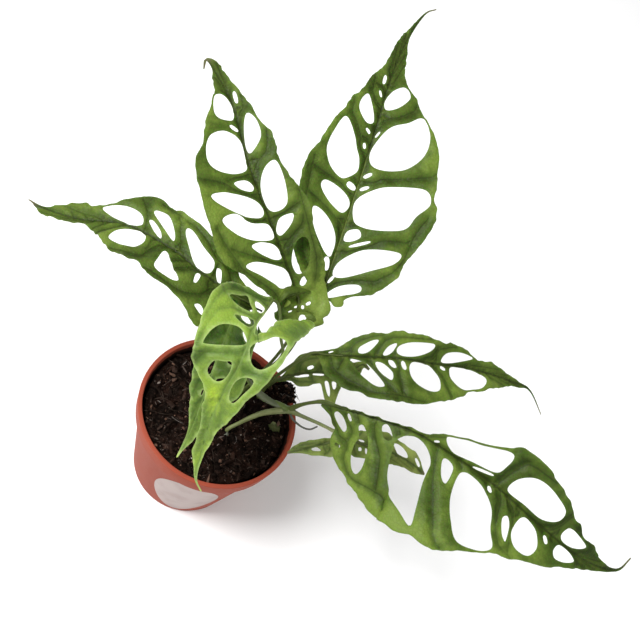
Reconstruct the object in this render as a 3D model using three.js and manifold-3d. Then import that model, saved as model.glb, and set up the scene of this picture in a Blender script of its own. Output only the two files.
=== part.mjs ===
// A potted monstera obliqua: a lacy-leaved climbing plant rooted in a small
// tapered nursery pot. Millimetres, +Z up, the pot's underside on z = 0 and
// the pot's axis on the Z axis. The front of the plant faces -Y.
//
// Every leaf is a thin blade laid along a curved midrib. A place on a blade is
// [s, t]: s runs along the midrib from the leaf's base, t runs across it, to
// the right with the tip ahead. Margins and holes are both written that way.
import * as THREE from 'three';
import { mergeVertices } from 'three/addons/utils/BufferGeometryUtils.js';
import Module from 'manifold-3d';

const wasm = await Module();
wasm.setup();
const { Manifold, Mesh } = wasm;

// The pot.
const POT_HEIGHT = 105;
const POT_RIM_RADIUS = 60;
const POT_BAND_RADIUS = 58.6;
const POT_BAND_HEIGHT = 15.5;
const POT_NECK_RADIUS = 56.2;
const POT_BASE_RADIUS = 42.5;
const POT_WALL = 1.6;
const POT_LIP = 3.3;
const POT_FLOOR = 2.2;
const POT_SIDES = 60;
const DRAIN_RADIUS = 4;
const DRAIN_RING = 24;
const DRAIN_COUNT = 4;
const DRAIN_SIDES = 20;

// The soil, its heaped clump over the rim, and the plain holes stems stand in.
const SOIL_TOP = 97;
const SOIL_CLEARANCE = 0.3;
const SOIL_SEAT = 0.2;
const SOIL_SIDES = 40;
const SOIL_ROUGHNESS = 1.1;
const CLUMP_CENTRE = [35, 43.5, 102];
const CLUMP_RADII = [13.5, 10, 7.6];
const CLUMP_TURN = 128;
const HOLE_DEPTH = 14;
const HOLE_CLEARANCE = 0.5;
const HOLE_SIDES = 12;

// Blades, midribs and stalks.
const BLADE_THICKNESS = 0.7;
const MIDRIB_THICKNESS = 1.5;
const MARGIN_STEP = 6.5;
const HOLE_STEP = 5;
const MIDRIB_STEP = 9;
const LONGEST_EDGE = 14;
const TUBE_SIDES = 7;
const STALK_STEP = 9;
const MIDRIB_RUN = 26;

// The stem's two nodes, where stalks meet it.
const NODE = [42, 21, 125];
const NODE_RADIUS = 3.4;
const FAR_NODE = [84, 21, 137];
const FAR_NODE_RADIUS = 2.6;
const NODE_GAP = 0.4;

// The creeping stem from the soil to the far node, and its thin hooked root.
const VINE_PATH = [[13, -6, 97], [17, -1, 106], [22, 5, 113], [29, 12, 119], NODE];
const VINE_RADII = [2.1, 1.9, 1.7];
const BRANCH_PATH = [NODE, [53, 20, 130], [66, 20, 134.5], FAR_NODE];
const BRANCH_RADII = [1.5, 1.3, 1.2];
const ROOT_PATH = [
  [43, 19, 124], [48, 17, 119], [56, 17, 116], [64, 22, 116], [67, 28, 119],
  [67, 34, 123],
];
const ROOT_RADII = [0.8, 0.7, 0.5];
const ROOT_SIDES = 6;
const ROOT_STEP = 5;

/**
 * The leaves. spine: points of the midrib from base to tip. face: the way the
 * upper side looks, at even places from base to tip. fold: how far each half
 * is folded up, in degrees, likewise. left and right: [s, half width] down
 * each margin. holes: a list of four or more [s, t] points is a smooth loop,
 * and [s, t, length, width, slant] is an oval. stalk: points from the foot to
 * the blade, with its radius at the two ends; joins is where it meets the
 * midrib.
 */
const LEAVES = {
  leaf_tall_right: {
    spine: [
      [16, 62, 196.5], [14, 69, 200], [8, 89, 210], [-3, 124, 230], [-17, 169, 252],
      [-30, 212, 266], [-38, 253, 272], [-40, 298, 274], [-35, 312, 276],
    ],
    face: [[0.1, -0.35, 1], [0.1, -0.35, 1]],
    fold: { left: [12, 12], right: [12, 12] },
    left: [
      [0, 0.6], [6.5, 2.2], [8, 5], [12, 14], [20, 24], [33, 33], [53, 40],
      [73, 43], [88, 44],
      [98, 42], [108, 38.5], [118, 35.5], [128, 33], [138, 28.5], [148, 25.5],
      [158, 20], [171, 15.5], [183, 10], [198, 7], [218, 5.5], [233, 4],
      [248, 2.2], [263, 1], [275, 0.5],
    ],
    right: [
      [0, 0.6], [4.6, 0.9], [5.4, 3], [4.4, 7], [2.4, 9.8], [2.2, 12.6],
      [3.4, 15.4], [6, 16.6], [8.8, 16.2], [12.4, 20.4], [15, 26.6], [17.6, 33],
      [22.2, 37.2], [27, 41], [32.7, 44], [38, 47.2], [50, 49.4], [58, 53],
      [68, 57], [80, 59.5], [90, 59], [98, 54.5], [105, 55], [118, 52],
      [128, 49], [138, 45], [148, 38], [158, 30], [168, 24], [173, 17.5],
      [180, 12], [190, 8], [208, 5], [220, 2], [233, 0.6], [275, 0.4],
    ],
    holes: [
      [12.5, -2.6, 5, 1.6, -15],
      [29, -4.6, 10, 5, -15],
      [[36, -3], [48, -4], [58, -12], [63, -22], [62, -28], [52, -24], [42, -15], [35, -7]],
      [[68, -4], [75, -2], [82, -9], [84, -24], [79, -27], [72, -20], [67, -9]],
      [87.5, -5, 8, 4.6, -75],
      [[92, -10], [101, -4], [116, -10], [128, -19], [132, -26], [122, -30], [106, -32],
        [95, -26], [90, -16]],
      [119, -4.8, 4.4, 2.2, -25],
      [130.4, -5.8, 5, 2.6, -60],
      [[139, -3.5], [149, -7.5], [157, -13.5], [150, -18], [142, -17.5], [136, -9]],
      [162.5, -4.4, 5.4, 2.4, -30],
      [175.3, -4.7, 7.5, 3, -5],
      [19.7, 2.6, 7, 2.2, 25],
      [[7, 2.2], [9.2, 3], [12.6, 5.2], [16.2, 8.6], [19.4, 13.7], [21.8, 20.3],
        [21.6, 23.6], [20, 25], [17.6, 24.6], [14.8, 21], [12, 15.4], [9.2, 10.4],
        [7, 6.2], [6.4, 3.8]],
      [[23, 3], [33, 4], [46, 16], [51, 30], [52.5, 44], [44, 41], [34, 27], [24, 11]],
      [[49, 2.5], [56, 3], [59.5, 10], [55, 13], [50, 8]],
      [50, 14, 16, 2, 58],
      [[66, 4], [78, 1.6], [88, 9], [96, 22], [102, 46], [93, 53], [81, 46], [70, 41],
        [64, 26], [62, 11]],
      [89.3, 5, 7.5, 2.8, 52],
      [99, 4.4, 7, 2.8, 48],
      [[107, 5], [115, 1.2], [126, 3.4], [139, 10], [146, 21], [154, 31], [141, 39],
        [126, 39], [113, 30], [106.5, 15]],
      [131, 2.4, 6, 1.6, 22],
      [[152, 4], [158, 0.9], [169, 4.5], [175, 12], [168, 18], [157, 12]],
    ],
    stalk: {
      path: [[14, 38, 97], [18, 50, 145], [16, 60, 175]],
      radii: [1.9, 1.2],
      joins: 8,
    },
  },
  leaf_tall_middle: {
    spine: [
      [11, 46, 184], [5, 53, 196], [-7, 58, 206], [-41, 72, 228],
      [-76, 91, 244], [-107, 120, 250], [-131, 139, 248], [-145, 150, 244],
      [-144, 146, 238],
    ],
    face: [[0.1, -0.35, 1], [0, -0.3, 1]],
    fold: { left: [14, 12], right: [14, 12] },
    left: [
      [0, 7], [2, 14], [6, 18.5], [11, 19.5], [18, 18], [26, 19.5], [36, 24], [46, 30.5],
      [52, 34], [57, 40], [63, 44.5], [73, 46], [86, 44.5], [101, 42.5],
      [116, 40], [121, 39], [126, 35.5], [132, 30], [141, 26.5], [151, 22.5],
      [161, 17.5], [171, 11.5], [181, 7.5], [191, 4], [200, 1.2], [217, 0.5],
    ],
    right: [
      [0, 9], [1, 13], [4, 17], [9, 19], [13, 21], [18, 20], [26, 22],
      [36, 24.5], [56, 25], [66, 27], [76, 29], [84, 29], [96, 25],
      [106, 22.2], [114, 20.6], [129, 21.5], [137, 20], [146, 15], [156, 12],
      [176, 8], [196, 5.5], [206, 4], [212, 1.5], [217, 0.5],
    ],
    holes: [
      [[31, -2], [32, -11], [38, -15.5], [46, -22], [56, -30.5], [56, -22], [47, -7],
        [40, -1.6]],
      [[51, -2], [52, -8], [61, -18], [66.5, -21], [66, -13], [60, -3.5]],
      [[65, -3], [69, -18], [77, -29], [88, -34.5], [89, -24], [80, -14.5], [75, -3]],
      [[81, -5], [84, -15], [92, -26], [103, -35], [103, -24], [96, -9], [87, -2.6]],
      [[99, -5], [102, -12], [107, -15.5], [107, -7], [102, -3]],
      [[113, -4], [113, -16], [119, -28], [128, -28.5], [138, -22], [141, -11],
        [134, -2], [121, -1.6]],
      [143.4, -4.4, 7, 3.2, -50],
      [[150, -4], [151, -13], [158, -15.5], [171, -11], [172, -4], [160, -1.1]],
      [10.1, -6.6, 1.5, 3.8, 0],
      [13.9, -2.7, 2.2, 3, 0],
      [[3.2, 1.2], [6.4, 1], [7.8, 3.5], [6.4, 6.2], [4, 4.6]],
      [13.4, 2.2, 2.8, 2.2, 0],
      [15.9, 6, 3.8, 1.6, 66],
      [30.3, 7, 7, 4.2, 45],
      [[37, 4.4], [46, 4], [56, 10], [59, 17], [54, 19.6], [42, 15.5], [36.5, 10]],
      [[65, 3.5], [69, 1.4], [76, 6.5], [76, 16], [70, 12.5]],
      [[81, 6], [86, 1.2], [100, 2.2], [111, 9], [114, 17.6], [100, 19], [84, 15]],
      [[124, 3.4], [130, 1.2], [146, 3.6], [154, 7.6], [147, 12.6], [134, 12.6]],
      [168, 3.8, 10, 2.8, 8],
    ],
    stalk: {
      path: [[8, 33, 97], [12.5, 44, 140], [12, 49, 165]],
      radii: [1.9, 1.2],
      joins: 14,
    },
  },
  leaf_far_left: {
    spine: [
      [-13, 28, 200], [-30, 23, 205], [-58, 20, 209], [-84, 24, 207],
      [-120, 26, 198], [-148, 18, 185], [-174, 17, 173], [-189, 19, 168],
    ],
    face: [[-0.15, 0, 1], [-0.2, 0, 1]],
    fold: { left: [2, 14, 12], right: [14, 12] },
    left: [
      [0, 0.6], [6.4, 1], [8.6, 3.4], [15, 4.4], [22, 4.2], [27, 3.6],
      [29.6, 8], [30.6, 16], [30.6, 26], [31.6, 35], [34, 39.6], [36.6, 40],
      [39, 37.7], [43.5, 33.8], [47.2, 30.6], [50, 29.6], [57, 29.5], [70, 32],
      [80, 30], [88, 32.5], [103, 30.5], [115, 26], [123, 20], [130, 12], [138, 6.2], [145, 7], [168, 6.3],
      [175, 4], [181, 1.6], [187, 0.5],
    ],
    right: [
      [0, 0.6], [6.4, 1], [8.4, 5.4], [11.7, 8.2], [19.5, 9.8], [24.8, 12.6],
      [29.7, 15.8], [35, 17.2], [40.4, 16.7], [46.4, 17.1], [51.3, 18.8],
      [55.7, 21.2], [60, 23.5], [75, 25.5],
      [85, 27], [93, 26], [100, 27.5], [110, 25], [116, 19], [124, 13],
      [135, 11.5], [144, 13.5], [155, 10.5], [165, 5.5], [172, 1.5],
      [187, 0.4],
    ],
    holes: [
      [[54, -19], [61, -23.5], [71, -24], [75, -14], [75.5, -6], [66, -11]],
      [[47, -10], [48.4, -11.5], [50.6, -4], [48, -3]],
      [[91, -8], [91, -19], [99, -22.5], [111, -21.5], [115, -16], [108, -6], [97, -1.2]],
      [[41.2, -26.8], [39.5, -24.2], [36.6, -25.4], [34.6, -29.6], [36.4, -30], [39, -28.6]],
      [[101.5, 4], [108, 1], [120, 3], [129, 10], [116, 13], [105, 10.5]],
      [[85, 2], [92, 4], [99.5, 9.6], [96, 10], [88, 6]],
      [[77, 5], [86, 8.4], [98, 14.6], [99, 18], [90, 18.4], [80, 10.5]],
      [[44, 7], [46, 1.4], [56, 1.4], [67, 8], [75, 16], [72, 18.6], [60, 14], [48, 12]],
      [[34.6, 1.2], [38, 2], [42, 9], [38.5, 8.6]],
    ],
    stalk: {
      path: [[0, 24, 97], [-6, 27, 140], [-11, 29, 175]],
      radii: [1.8, 1.2],
      joins: 7,
    },
  },
  leaf_arching: {
    spine: [
      [-11, 34, 210], [-11, 14, 221], [-11, -6, 231], [-8, -22, 232],
      [-5, -35, 225], [-4, -45, 210], [0, -58, 186], [6, -67, 166],
      [12, -76, 152], [20, -78, 143],
    ],
    face: [[0, 0.2, 1], [0, -0.8, 1], [0, -1, 0.6]],
    fold: { left: [5, 5], right: [5, 5] },
    left: [
      [0, 0.5], [24, 0.7], [44, 1], [52.6, 2.4], [49, 6.2], [42, 7.8],
      [35, 8.8], [26, 10.2], [19, 13], [12.2, 19.2], [5, 24.2], [1, 28],
      [1.2, 31.6], [7, 32.6], [16, 31.4], [27, 29.4], [40, 27.7], [50, 27],
      [57, 25.5], [65, 24], [72, 21.5], [80, 18.5], [87, 16], [95, 14],
      [105, 12], [115, 10], [121, 7], [130, 5.2], [138, 3.5], [145, 1.8],
      [155, 0.9], [175, 0.5],
    ],
    right: [
      [0, 3], [7, 8], [11, 18], [17, 27], [24, 30.5], [32, 32.3], [42, 33.5],
      [54, 32.4], [65, 30.8], [75, 30], [83, 28.2], [88, 25], [92, 19.5],
      [96, 14], [101, 10.4], [110, 8.5], [120, 6], [129, 5.3], [143, 5.6],
      [151, 4], [158, 2], [167, 0.7], [175, 0.5],
    ],
    holes: [
      [[20.5, 1.4], [26, 1], [31.5, 3.6], [26, 7.4], [20.5, 8.4]],
      [[22.5, 15], [30, 10], [35.4, 6.4], [38, 12], [39, 22], [35.6, 23.4], [28, 18.6]],
      [[42.4, 2.4], [46.5, 1.2], [50, 3.6], [49.5, 9], [47, 14.2], [44.5, 9]],
      [[53, 9], [57, 3], [61.5, 1.2], [65, 7], [70, 22], [70, 25.4], [62, 23.6], [55, 18]],
      [[75, 5], [82, 3.2], [88, 4], [91, 8], [88, 15], [80, 14.6], [76.4, 9]],
      [[79, -12.6], [88, -11.4], [98.5, -8.6], [96.5, -4.4], [86, -3], [80, -6]],
      [[50, -14], [48.6, -17.4], [52.5, -22.4], [59, -22.4], [66.2, -19.6], [70, -16.6],
        [72.6, -12.4], [71.8, -7.4], [68, -4.2], [62.6, -2.4], [58, -5.2], [55.6, -9.4]],
    ],
    stalk: {
      path: [[6, 26, 97], [10.5, 27.5, 135], [15, 30, 165], [7, 27, 188], [-5, 36, 203]],
      radii: [1.5, 1.1],
      joins: 0,
    },
  },
  leaf_under_arch: {
    spine: [
      [-29, 37, 186], [-27, 14, 194], [-23, -4, 194], [-18, -20, 184],
      [-13, -34, 166], [-8, -48, 146], [-6, -62, 130],
    ],
    face: [[0, -0.2, 1], [0, -1, 1], [0, -1, 0.6]],
    fold: { left: [5, 5], right: [5, 5] },
    left: [
      [0, 3], [8, 8], [16, 13], [24, 17], [32, 19.5], [45, 21], [55, 22],
      [66, 23], [72, 22], [80, 17.5], [90, 13], [100, 9], [112, 5], [118, 3.5],
      [125, 1.5], [132, 0.5],
    ],
    right: [
      [0, 3], [6, 9], [15, 12.5], [30, 14], [45, 14], [58, 13.8], [65, 13],
      [80, 11], [85, 9], [95, 6], [105, 3.3], [115, 1.5], [132, 0.5],
    ],
    holes: [
      [55.5, -9, 5, 2.6, 90],
      [[66, -10], [68.5, -9], [70.5, -4.5], [68, -4.6]],
      [[57, 1.2], [63, 0.8], [67.4, 1.4], [66, 3.8], [60, 3.6]],
      [81, 1.9, 4.4, 1.2, 0],
      [20, -8, 12, 6, -35],
      [36, -14, 10, 6, -35],
    ],
    stalk: {
      path: [[33, 17, 131], [21, 11, 137], [7, 8, 147], [-9, 13, 160], [-22, 28, 171], [-30, 41, 180]],
      radii: [1.6, 1.1],
      joins: 0,
      from: 'node',
    },
  },
  leaf_low_right: {
    spine: [
      [31, 54, 152], [41, 56, 160], [64, 64, 172], [87, 77, 178],
      [107, 88, 178], [142, 114, 170], [181, 137, 158], [197, 144, 152],
      [217, 138, 142],
    ],
    face: [[0.1, -0.2, 1], [0.2, -0.2, 1]],
    fold: { left: [10, 10], right: [10, 10] },
    left: [
      [0, 1.2], [12, 2.8], [20, 4.6], [25, 8], [35, 14], [48, 17.8],
      [58, 18], [66, 20.2], [74, 19.2], [82, 20], [92, 19.3], [105, 16.5],
      [112, 16.8], [123, 15], [134, 9.3], [143, 7.8], [152, 9], [165, 6.7],
      [178, 4], [190, 1.2], [223, 0.4],
    ],
    right: [
      [0, 1.2], [8, 2.5], [12, 10], [16, 17], [22, 21.5], [27, 25],
      [33, 28], [38, 28.4], [44, 31.4], [52, 32.4], [60, 34.4], [68, 34],
      [76, 34.8], [86, 33], [97, 30], [110, 27], [118, 24], [126, 19.8],
      [138, 18.3], [144, 16.5], [150, 13.2], [158, 11], [168, 7], [178, 4],
      [188, 2.6], [198, 1.2], [223, 0.4],
    ],
    holes: [
      [17, -1.9, 4, 1.2, -15],
      [[37, -3], [38, -7], [47, -12], [52, -12], [46, -5], [41, -2.4]],
      [[55, -2.4], [59, -8], [65, -10.6], [63, -5], [58, -1.6]],
      [[66, -3.5], [67, -9], [78, -13.4], [95, -14.6], [94, -10], [82, -4], [72, -1.8]],
      [[102.5, -2.2], [107, -8.4], [120, -10.6], [133, -8], [122, -4], [110, -1.6]],
      [[32, 2.4], [43, 5.5], [50, 13], [54.5, 22], [49, 23], [40, 15], [34, 7]],
      [[49.5, 4], [55, 5.5], [61, 12], [60, 18], [55, 14.5], [50.5, 8.5]],
      [[59, 2], [63, 3], [65, 7.6], [61, 6.6]],
      [70.6, 5.6, 7.4, 3.4, 72],
      [[75, 6], [79, 1.2], [90, 2], [98, 10], [96.5, 21], [86, 22], [77, 15]],
      [103.4, 3.2, 5, 3, 30],
      [[109, 6], [113, 1.2], [130, 1.2], [147, 5.6], [142, 14], [128, 18], [118, 18.6],
        [110, 12]],
    ],
    stalk: {
      path: [[19, 33, 97], [19.5, 36, 112], [22, 41, 128]],
      radii: [1.7, 1.3],
      joins: 0,
    },
  },
  leaf_rim: {
    spine: [
      [22, 42, 114], [30, 49, 121], [41, 57, 128], [55, 66, 132],
      [67, 78, 132], [72, 88, 131], [79, 90, 128],
    ],
    face: [[0, -0.3, 1], [0.1, -0.3, 1]],
    fold: { left: [10, 10], right: [10, 10] },
    left: [
      [0, 1.2], [7, 2], [12, 6], [18, 11], [26, 15], [34, 15.5], [42, 14],
      [50, 11], [58, 8], [68, 4], [78, 1.6], [90, 0.5],
    ],
    right: [
      [0, 1.2], [12, 4], [18, 8.6], [24, 10.5], [30, 9.6], [35, 9],
      [36.6, 16], [37.6, 22], [39.4, 27], [42, 27.4], [44, 23], [46, 18],
      [48, 14], [50, 11], [58, 9], [68, 5], [78, 1.6], [90, 0.5],
    ],
    holes: [
      [[15.5, 1], [20.4, 0.9], [26.2, 1], [26.3, 3], [20.6, 3], [17, 2.2]],
      [34, 1.9, 9, 2, 4],
      [28.5, -3.8, 5, 2.8, -15],
      [46, -3.6, 10, 3, -15],
      [[38.4, 8], [40.8, 8], [41.4, 15], [40.6, 20], [39.2, 16]],
      [[43.4, 8], [46, 9], [45, 13.4], [43.4, 14]],
    ],
    stalk: {
      path: [[22, 43, 97], [21.6, 42, 106]],
      radii: [1.5, 1.1],
      joins: 0,
    },
  },
  leaf_long_right: {
    spine: [
      [56, 18, 164], [74, 17, 176], [107, 18, 192], [128, 18, 198],
      [175, 15, 202], [219, 11, 198], [261, 14, 188], [291, 27, 180],
      [302, 45, 178],
    ],
    face: [[0, -0.8, 0.6], [0.1, -0.4, 1], [0.2, -0.3, 1]],
    fold: { left: [60, 20, 10], right: [10, 10, 10] },
    left: [
      [0, 2.5], [20, 2.8], [50, 2.8], [75, 3.2], [80, 6], [90, 12],
      [100, 15], [112, 19], [125, 26], [131, 31], [138, 32.8], [150, 33],
      [163, 29.5], [178, 26], [190, 19.5], [198, 18.3], [207, 12.6],
      [218, 12], [227, 7.6], [238, 3], [250, 1], [271, 0.5],
    ],
    right: [
      [0, 3], [7, 8], [10, 12], [13.4, 15.5], [13.4, 20], [12.4, 25],
      [14, 29.5], [18, 34], [24.5, 40], [35, 48], [45, 54], [58, 60],
      [68, 62.4], [80, 62.5], [92, 63.5], [101, 61], [110, 62.5],
      [120, 60.5], [133, 53.5], [143, 48], [152, 40], [168, 32], [180, 25],
      [192, 20], [200, 14.5], [215, 8], [230, 4], [245, 1.6], [271, 0.5],
    ],
    holes: [
      [[11, 6], [13, 3.4], [16.4, 4.6], [20.4, 8.8], [22.8, 13], [21.6, 15.6], [17, 12.8],
        [13, 9.4]],
      [23, 4.8, 6, 2.6, 55],
      [19.3, 25.8, 5, 2.4, 15],
      [[31, 8.4], [34, 7], [38.2, 12], [41, 18.5], [42, 27], [41.6, 35], [38.6, 40],
        [34.6, 38], [31.4, 30], [31.4, 22], [33, 16], [32, 11.5]],
      [[47, 3.5], [50, 1.4], [54, 5], [56.4, 9.5], [53.4, 11.6], [49.5, 10]],
      [[59, 13], [62, 6], [68.8, 3], [75, 3], [81, 5.4], [86, 9.6], [88.6, 14],
        [89.2, 20], [90.4, 28], [95, 44], [97.5, 56], [86, 51], [70, 43.5], [62, 34]],
      [[94, 6.5], [98, 4.8], [103, 8.4], [103.5, 19.6], [98.5, 17]],
      [[108, 12], [111, 5.2], [124, 6.2], [138, 14], [146, 26], [153, 36], [144, 45],
        [129, 48], [118, 38], [111, 26]],
      [131, 4.4, 5, 2.6, 40],
      [[148.6, 15], [151, 11], [156, 15], [159, 25], [154, 23.5]],
      [[158.4, 8], [162, 3], [172, 5.4], [178, 14], [175, 23], [166, 24.6], [159.5, 18]],
      [181.3, 6, 6, 3.4, 45],
      [[190, 8], [193, 2.2], [202, 1.6], [208.6, 5], [201, 10.4], [193, 12.2]],
      [84.6, -2.4, 4, 2, -30],
      [[88.5, -9], [98, -14], [112, -17.6], [129, -24], [130.5, -14], [127, -7],
        [112, -4], [97, -2]],
      [120.5, -3, 15, 2, -14],
      [[141, -3], [141, -13], [149, -21.6], [162, -23.4], [180, -19], [182, -11],
        [172, -4], [156, -3.4]],
      [[190, -5], [192, -11.6], [203, -11.4], [212.6, -8], [204, -2.6], [194, -1.6]],
    ],
    stalk: {
      path: [[45, 22.6, 133], [48, 22, 142], [51.5, 20, 153]],
      radii: [1.5, 1.3],
      joins: 0,
      from: 'node',
    },
  },
  leaf_small_left: {
    spine: [[83.6, 15, 137.8], [76, 7, 138], [67, -2, 134], [57, -11, 128]],
    face: [[0, -0.3, 1], [0, -0.3, 1]],
    fold: { left: [8, 8], right: [8, 8] },
    left: [
      [0, 1.2], [4, 8], [9, 10], [14, 9], [20, 7], [25, 5], [30, 2.8],
      [35, 1.2], [41, 0.5],
    ],
    right: [
      [0, 1.2], [4, 2.4], [10, 3.6], [18, 4.6], [22, 5.6], [29, 5],
      [34, 3.4], [38, 1.4], [41, 0.5],
    ],
    holes: [[[16, -4.4], [21, -3], [22, -1], [18, -1.2]]],
    stalk: {
      path: [[83.9, 16.6, 137.6]],
      radii: [1.1, 1],
      joins: 0,
      from: 'far_node',
    },
  },
  leaf_small_right: {
    spine: [[89.4, 20, 138.8], [101, 22, 142], [120, 30, 140], [139, 36, 134], [154, 38, 128]],
    face: [[0, -0.3, 1], [0, -0.3, 1]],
    fold: { left: [8, 8], right: [8, 8] },
    left: [
      [0, 1.2], [4, 8], [12, 10.4], [25, 13], [32, 12], [36, 11], [42, 10],
      [49, 8.6], [54, 8.4], [59, 6], [64, 3], [70, 0.5],
    ],
    right: [
      [0, 1.2], [3, 8], [7, 11], [13, 10], [25, 10], [32, 9.5], [39, 7.6],
      [47, 6.6], [54, 6], [60, 4.5], [67, 2], [70, 0.5],
    ],
    holes: [
      [[34, -6], [38, -7.6], [46, -4.8], [49, -1.6], [40, -1.2]],
      [58.5, -3.2, 8, 2.4, 25],
      [9, -1.9, 4.4, 1.4, 0],
      [9.4, 4.5, 3, 2.2, 80],
      [13.6, 4.6, 4.6, 1.8, 80],
    ],
    stalk: {
      path: [[88, 20.4, 138.2]],
      radii: [1.1, 1],
      joins: 0,
      from: 'far_node',
    },
  },
};

const COLOURS = {
  plastic: { color: 0xb9684f, roughness: 0.5, metalness: 0 },
  soil: { color: 0x1d1410, roughness: 1, metalness: 0 },
  stem: { color: 0x7f8a4c, roughness: 0.6, metalness: 0 },
  leaf: { color: 0x4f7f2a, roughness: 0.45, metalness: 0 },
  young_leaf: { color: 0x86b244, roughness: 0.5, metalness: 0 },
};

const YOUNG = ['leaf_arching', 'leaf_under_arch'];

const radians = THREE.MathUtils.degToRad;
const vector = (p) => new THREE.Vector3(p[0], p[1], p[2]);

/** One span of a uniform Catmull-Rom curve through b and c. */
function blend(a, b, c, d, u) {
  return b.map((_, k) => 0.5 * (2 * b[k] + (c[k] - a[k]) * u
    + (2 * a[k] - 5 * b[k] + 4 * c[k] - d[k]) * u * u
    + (3 * b[k] - a[k] - 3 * c[k] + d[k]) * u * u * u));
}

/** A fine polyline along the smooth curve through the given points. */
function smooth(points, closed = false, fine = 16) {
  const count = points.length;
  const spans = closed ? count : count - 1;
  const at = (i) => {
    if (closed) return points[(i + count) % count];
    if (i < 0) return points[0].map((v, k) => 2 * v - points[1][k]);
    if (i >= count) return points[count - 1].map((v, k) => 2 * v - points[count - 2][k]);
    return points[i];
  };
  const line = [];
  for (let i = 0; i < spans; i += 1) {
    for (let j = 0; j < fine; j += 1) {
      line.push(blend(at(i - 1), at(i), at(i + 1), at(i + 2), j / fine));
    }
  }
  line.push(closed ? points[0] : points[count - 1]);
  return line;
}

const distance = (a, b) => Math.hypot(...a.map((v, k) => v - b[k]));

/** Running length along a polyline. */
function lengths(line) {
  const run = [0];
  for (let i = 1; i < line.length; i += 1) run.push(run[i - 1] + distance(line[i - 1], line[i]));
  return run;
}

/** The point of a polyline at a given running length. */
function pointAt(line, run, length) {
  const target = Math.min(Math.max(length, 0), run[run.length - 1]);
  let i = 1;
  while (i < run.length - 1 && run[i] < target) i += 1;
  const f = (target - run[i - 1]) / Math.max(run[i] - run[i - 1], 1e-9);
  return line[i].map((v, k) => line[i - 1][k] * (1 - f) + v * f);
}

/** A polyline sampled again at even steps, both ends kept. */
function evenly(line, step, least = 2) {
  const run = lengths(line);
  const total = run[run.length - 1];
  const count = Math.max(least, Math.round(total / step));
  const points = [];
  for (let i = 0; i <= count; i += 1) points.push(pointAt(line, run, (total * i) / count));
  return points;
}

/** A value read between keys set at even places, eased from one to the next. */
function keyed(keys, u) {
  const x = Math.min(Math.max(u, 0), 1) * (keys.length - 1);
  const i = Math.min(Math.floor(x), keys.length - 2);
  const f = x - i;
  const ease = f * f * (3 - 2 * f);
  if (Array.isArray(keys[0])) return keys[i].map((v, k) => v * (1 - ease) + keys[i + 1][k] * ease);
  return keys[i] * (1 - ease) + keys[i + 1] * ease;
}

/** The curved surface of one leaf, from [s, t] to a place in the plant. */
class Surface {
  constructor(leaf) {
    this.leaf = leaf;
    this.line = smooth(leaf.spine, false, 40);
    this.run = lengths(this.line);
    this.length = this.run[this.run.length - 1];
  }

  frame(s) {
    const origin = vector(pointAt(this.line, this.run, s));
    const behind = vector(pointAt(this.line, this.run, s - 1.5));
    const ahead = vector(pointAt(this.line, this.run, s + 1.5));
    const along = ahead.sub(behind).normalize();
    const face = vector(keyed(this.leaf.face, s / this.length)).normalize();
    const across = along.clone().cross(face).normalize();
    const up = across.clone().cross(along);
    return { origin, along, across, up };
  }

  at(s, t) {
    const { origin, across, up } = this.frame(s);
    const side = t >= 0 ? this.leaf.fold.right : this.leaf.fold.left;
    const angle = radians(keyed(side, s / this.length));
    const reach = Math.abs(t);
    return origin
      .addScaledVector(across, t * Math.cos(angle))
      .addScaledVector(up, reach * Math.sin(angle));
  }

  normal(s, t) {
    const e = 0.5;
    const ahead = this.at(Math.min(s + e, this.length), t);
    const behind = this.at(Math.max(s - e, 0), t);
    const slope = ahead.sub(behind);
    const width = Math.abs(t) < 1e-6
      ? this.frame(s).across
      : this.at(s, t + e * Math.sign(t)).sub(this.at(s, t)).multiplyScalar(Math.sign(t));
    return width.clone().cross(slope).normalize();
  }
}

/** An oval ring, a little squarer than an ellipse. */
function oval([s, t, length, width, slant]) {
  const count = Math.max(6, Math.round((length + width) / 1.9));
  const turn = radians(slant);
  const ring = [];
  for (let i = 0; i < count; i += 1) {
    const a = (2 * Math.PI * i) / count;
    const shape = (v) => Math.sign(v) * Math.abs(v) ** (2 / 2.4);
    const x = (shape(Math.cos(a)) * length) / 2;
    const y = (shape(Math.sin(a)) * width) / 2;
    ring.push([s + x * Math.cos(turn) - y * Math.sin(turn), t + x * Math.sin(turn) + y * Math.cos(turn)]);
  }
  return ring;
}

/** The ring of a hole as typed in the leaf's table. */
function holeRing(hole) {
  if (!Array.isArray(hole[0])) return oval(hole);
  const line = smooth(hole, true);
  return evenly(line, HOLE_STEP, 6).slice(0, -1);
}

/** Twice the signed area of a triangle in the [s, t] plane. */
function turnOf(a, b, c) {
  return (b[0] - a[0]) * (c[1] - a[1]) - (b[1] - a[1]) * (c[0] - a[0]);
}

/** True where d lies inside the circle through a, b and c. */
function insideCircle(a, b, c, d) {
  const rows = [a, b, c].map((p) => {
    const x = p[0] - d[0];
    const y = p[1] - d[1];
    return [x, y, x * x + y * y];
  });
  const [p, q, r] = rows;
  const det = p[0] * (q[1] * r[2] - q[2] * r[1])
    - p[1] * (q[0] * r[2] - q[2] * r[0])
    + p[2] * (q[0] * r[1] - q[1] * r[0]);
  return det * Math.sign(turnOf(a, b, c)) > 1e-7;
}

/** One name for an edge, whichever way it is walked. */
const edgeKey = (a, b) => (a < b ? `${a} ${b}` : `${b} ${a}`);

/** Each edge with the triangles at its two sides. */
function edgeMap(triangles) {
  const map = new Map();
  triangles.forEach((tri, index) => {
    for (let k = 0; k < 3; k += 1) {
      const name = edgeKey(tri[k], tri[(k + 1) % 3]);
      if (!map.has(name)) map.set(name, []);
      map.get(name).push(index);
    }
  });
  return map;
}

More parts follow.
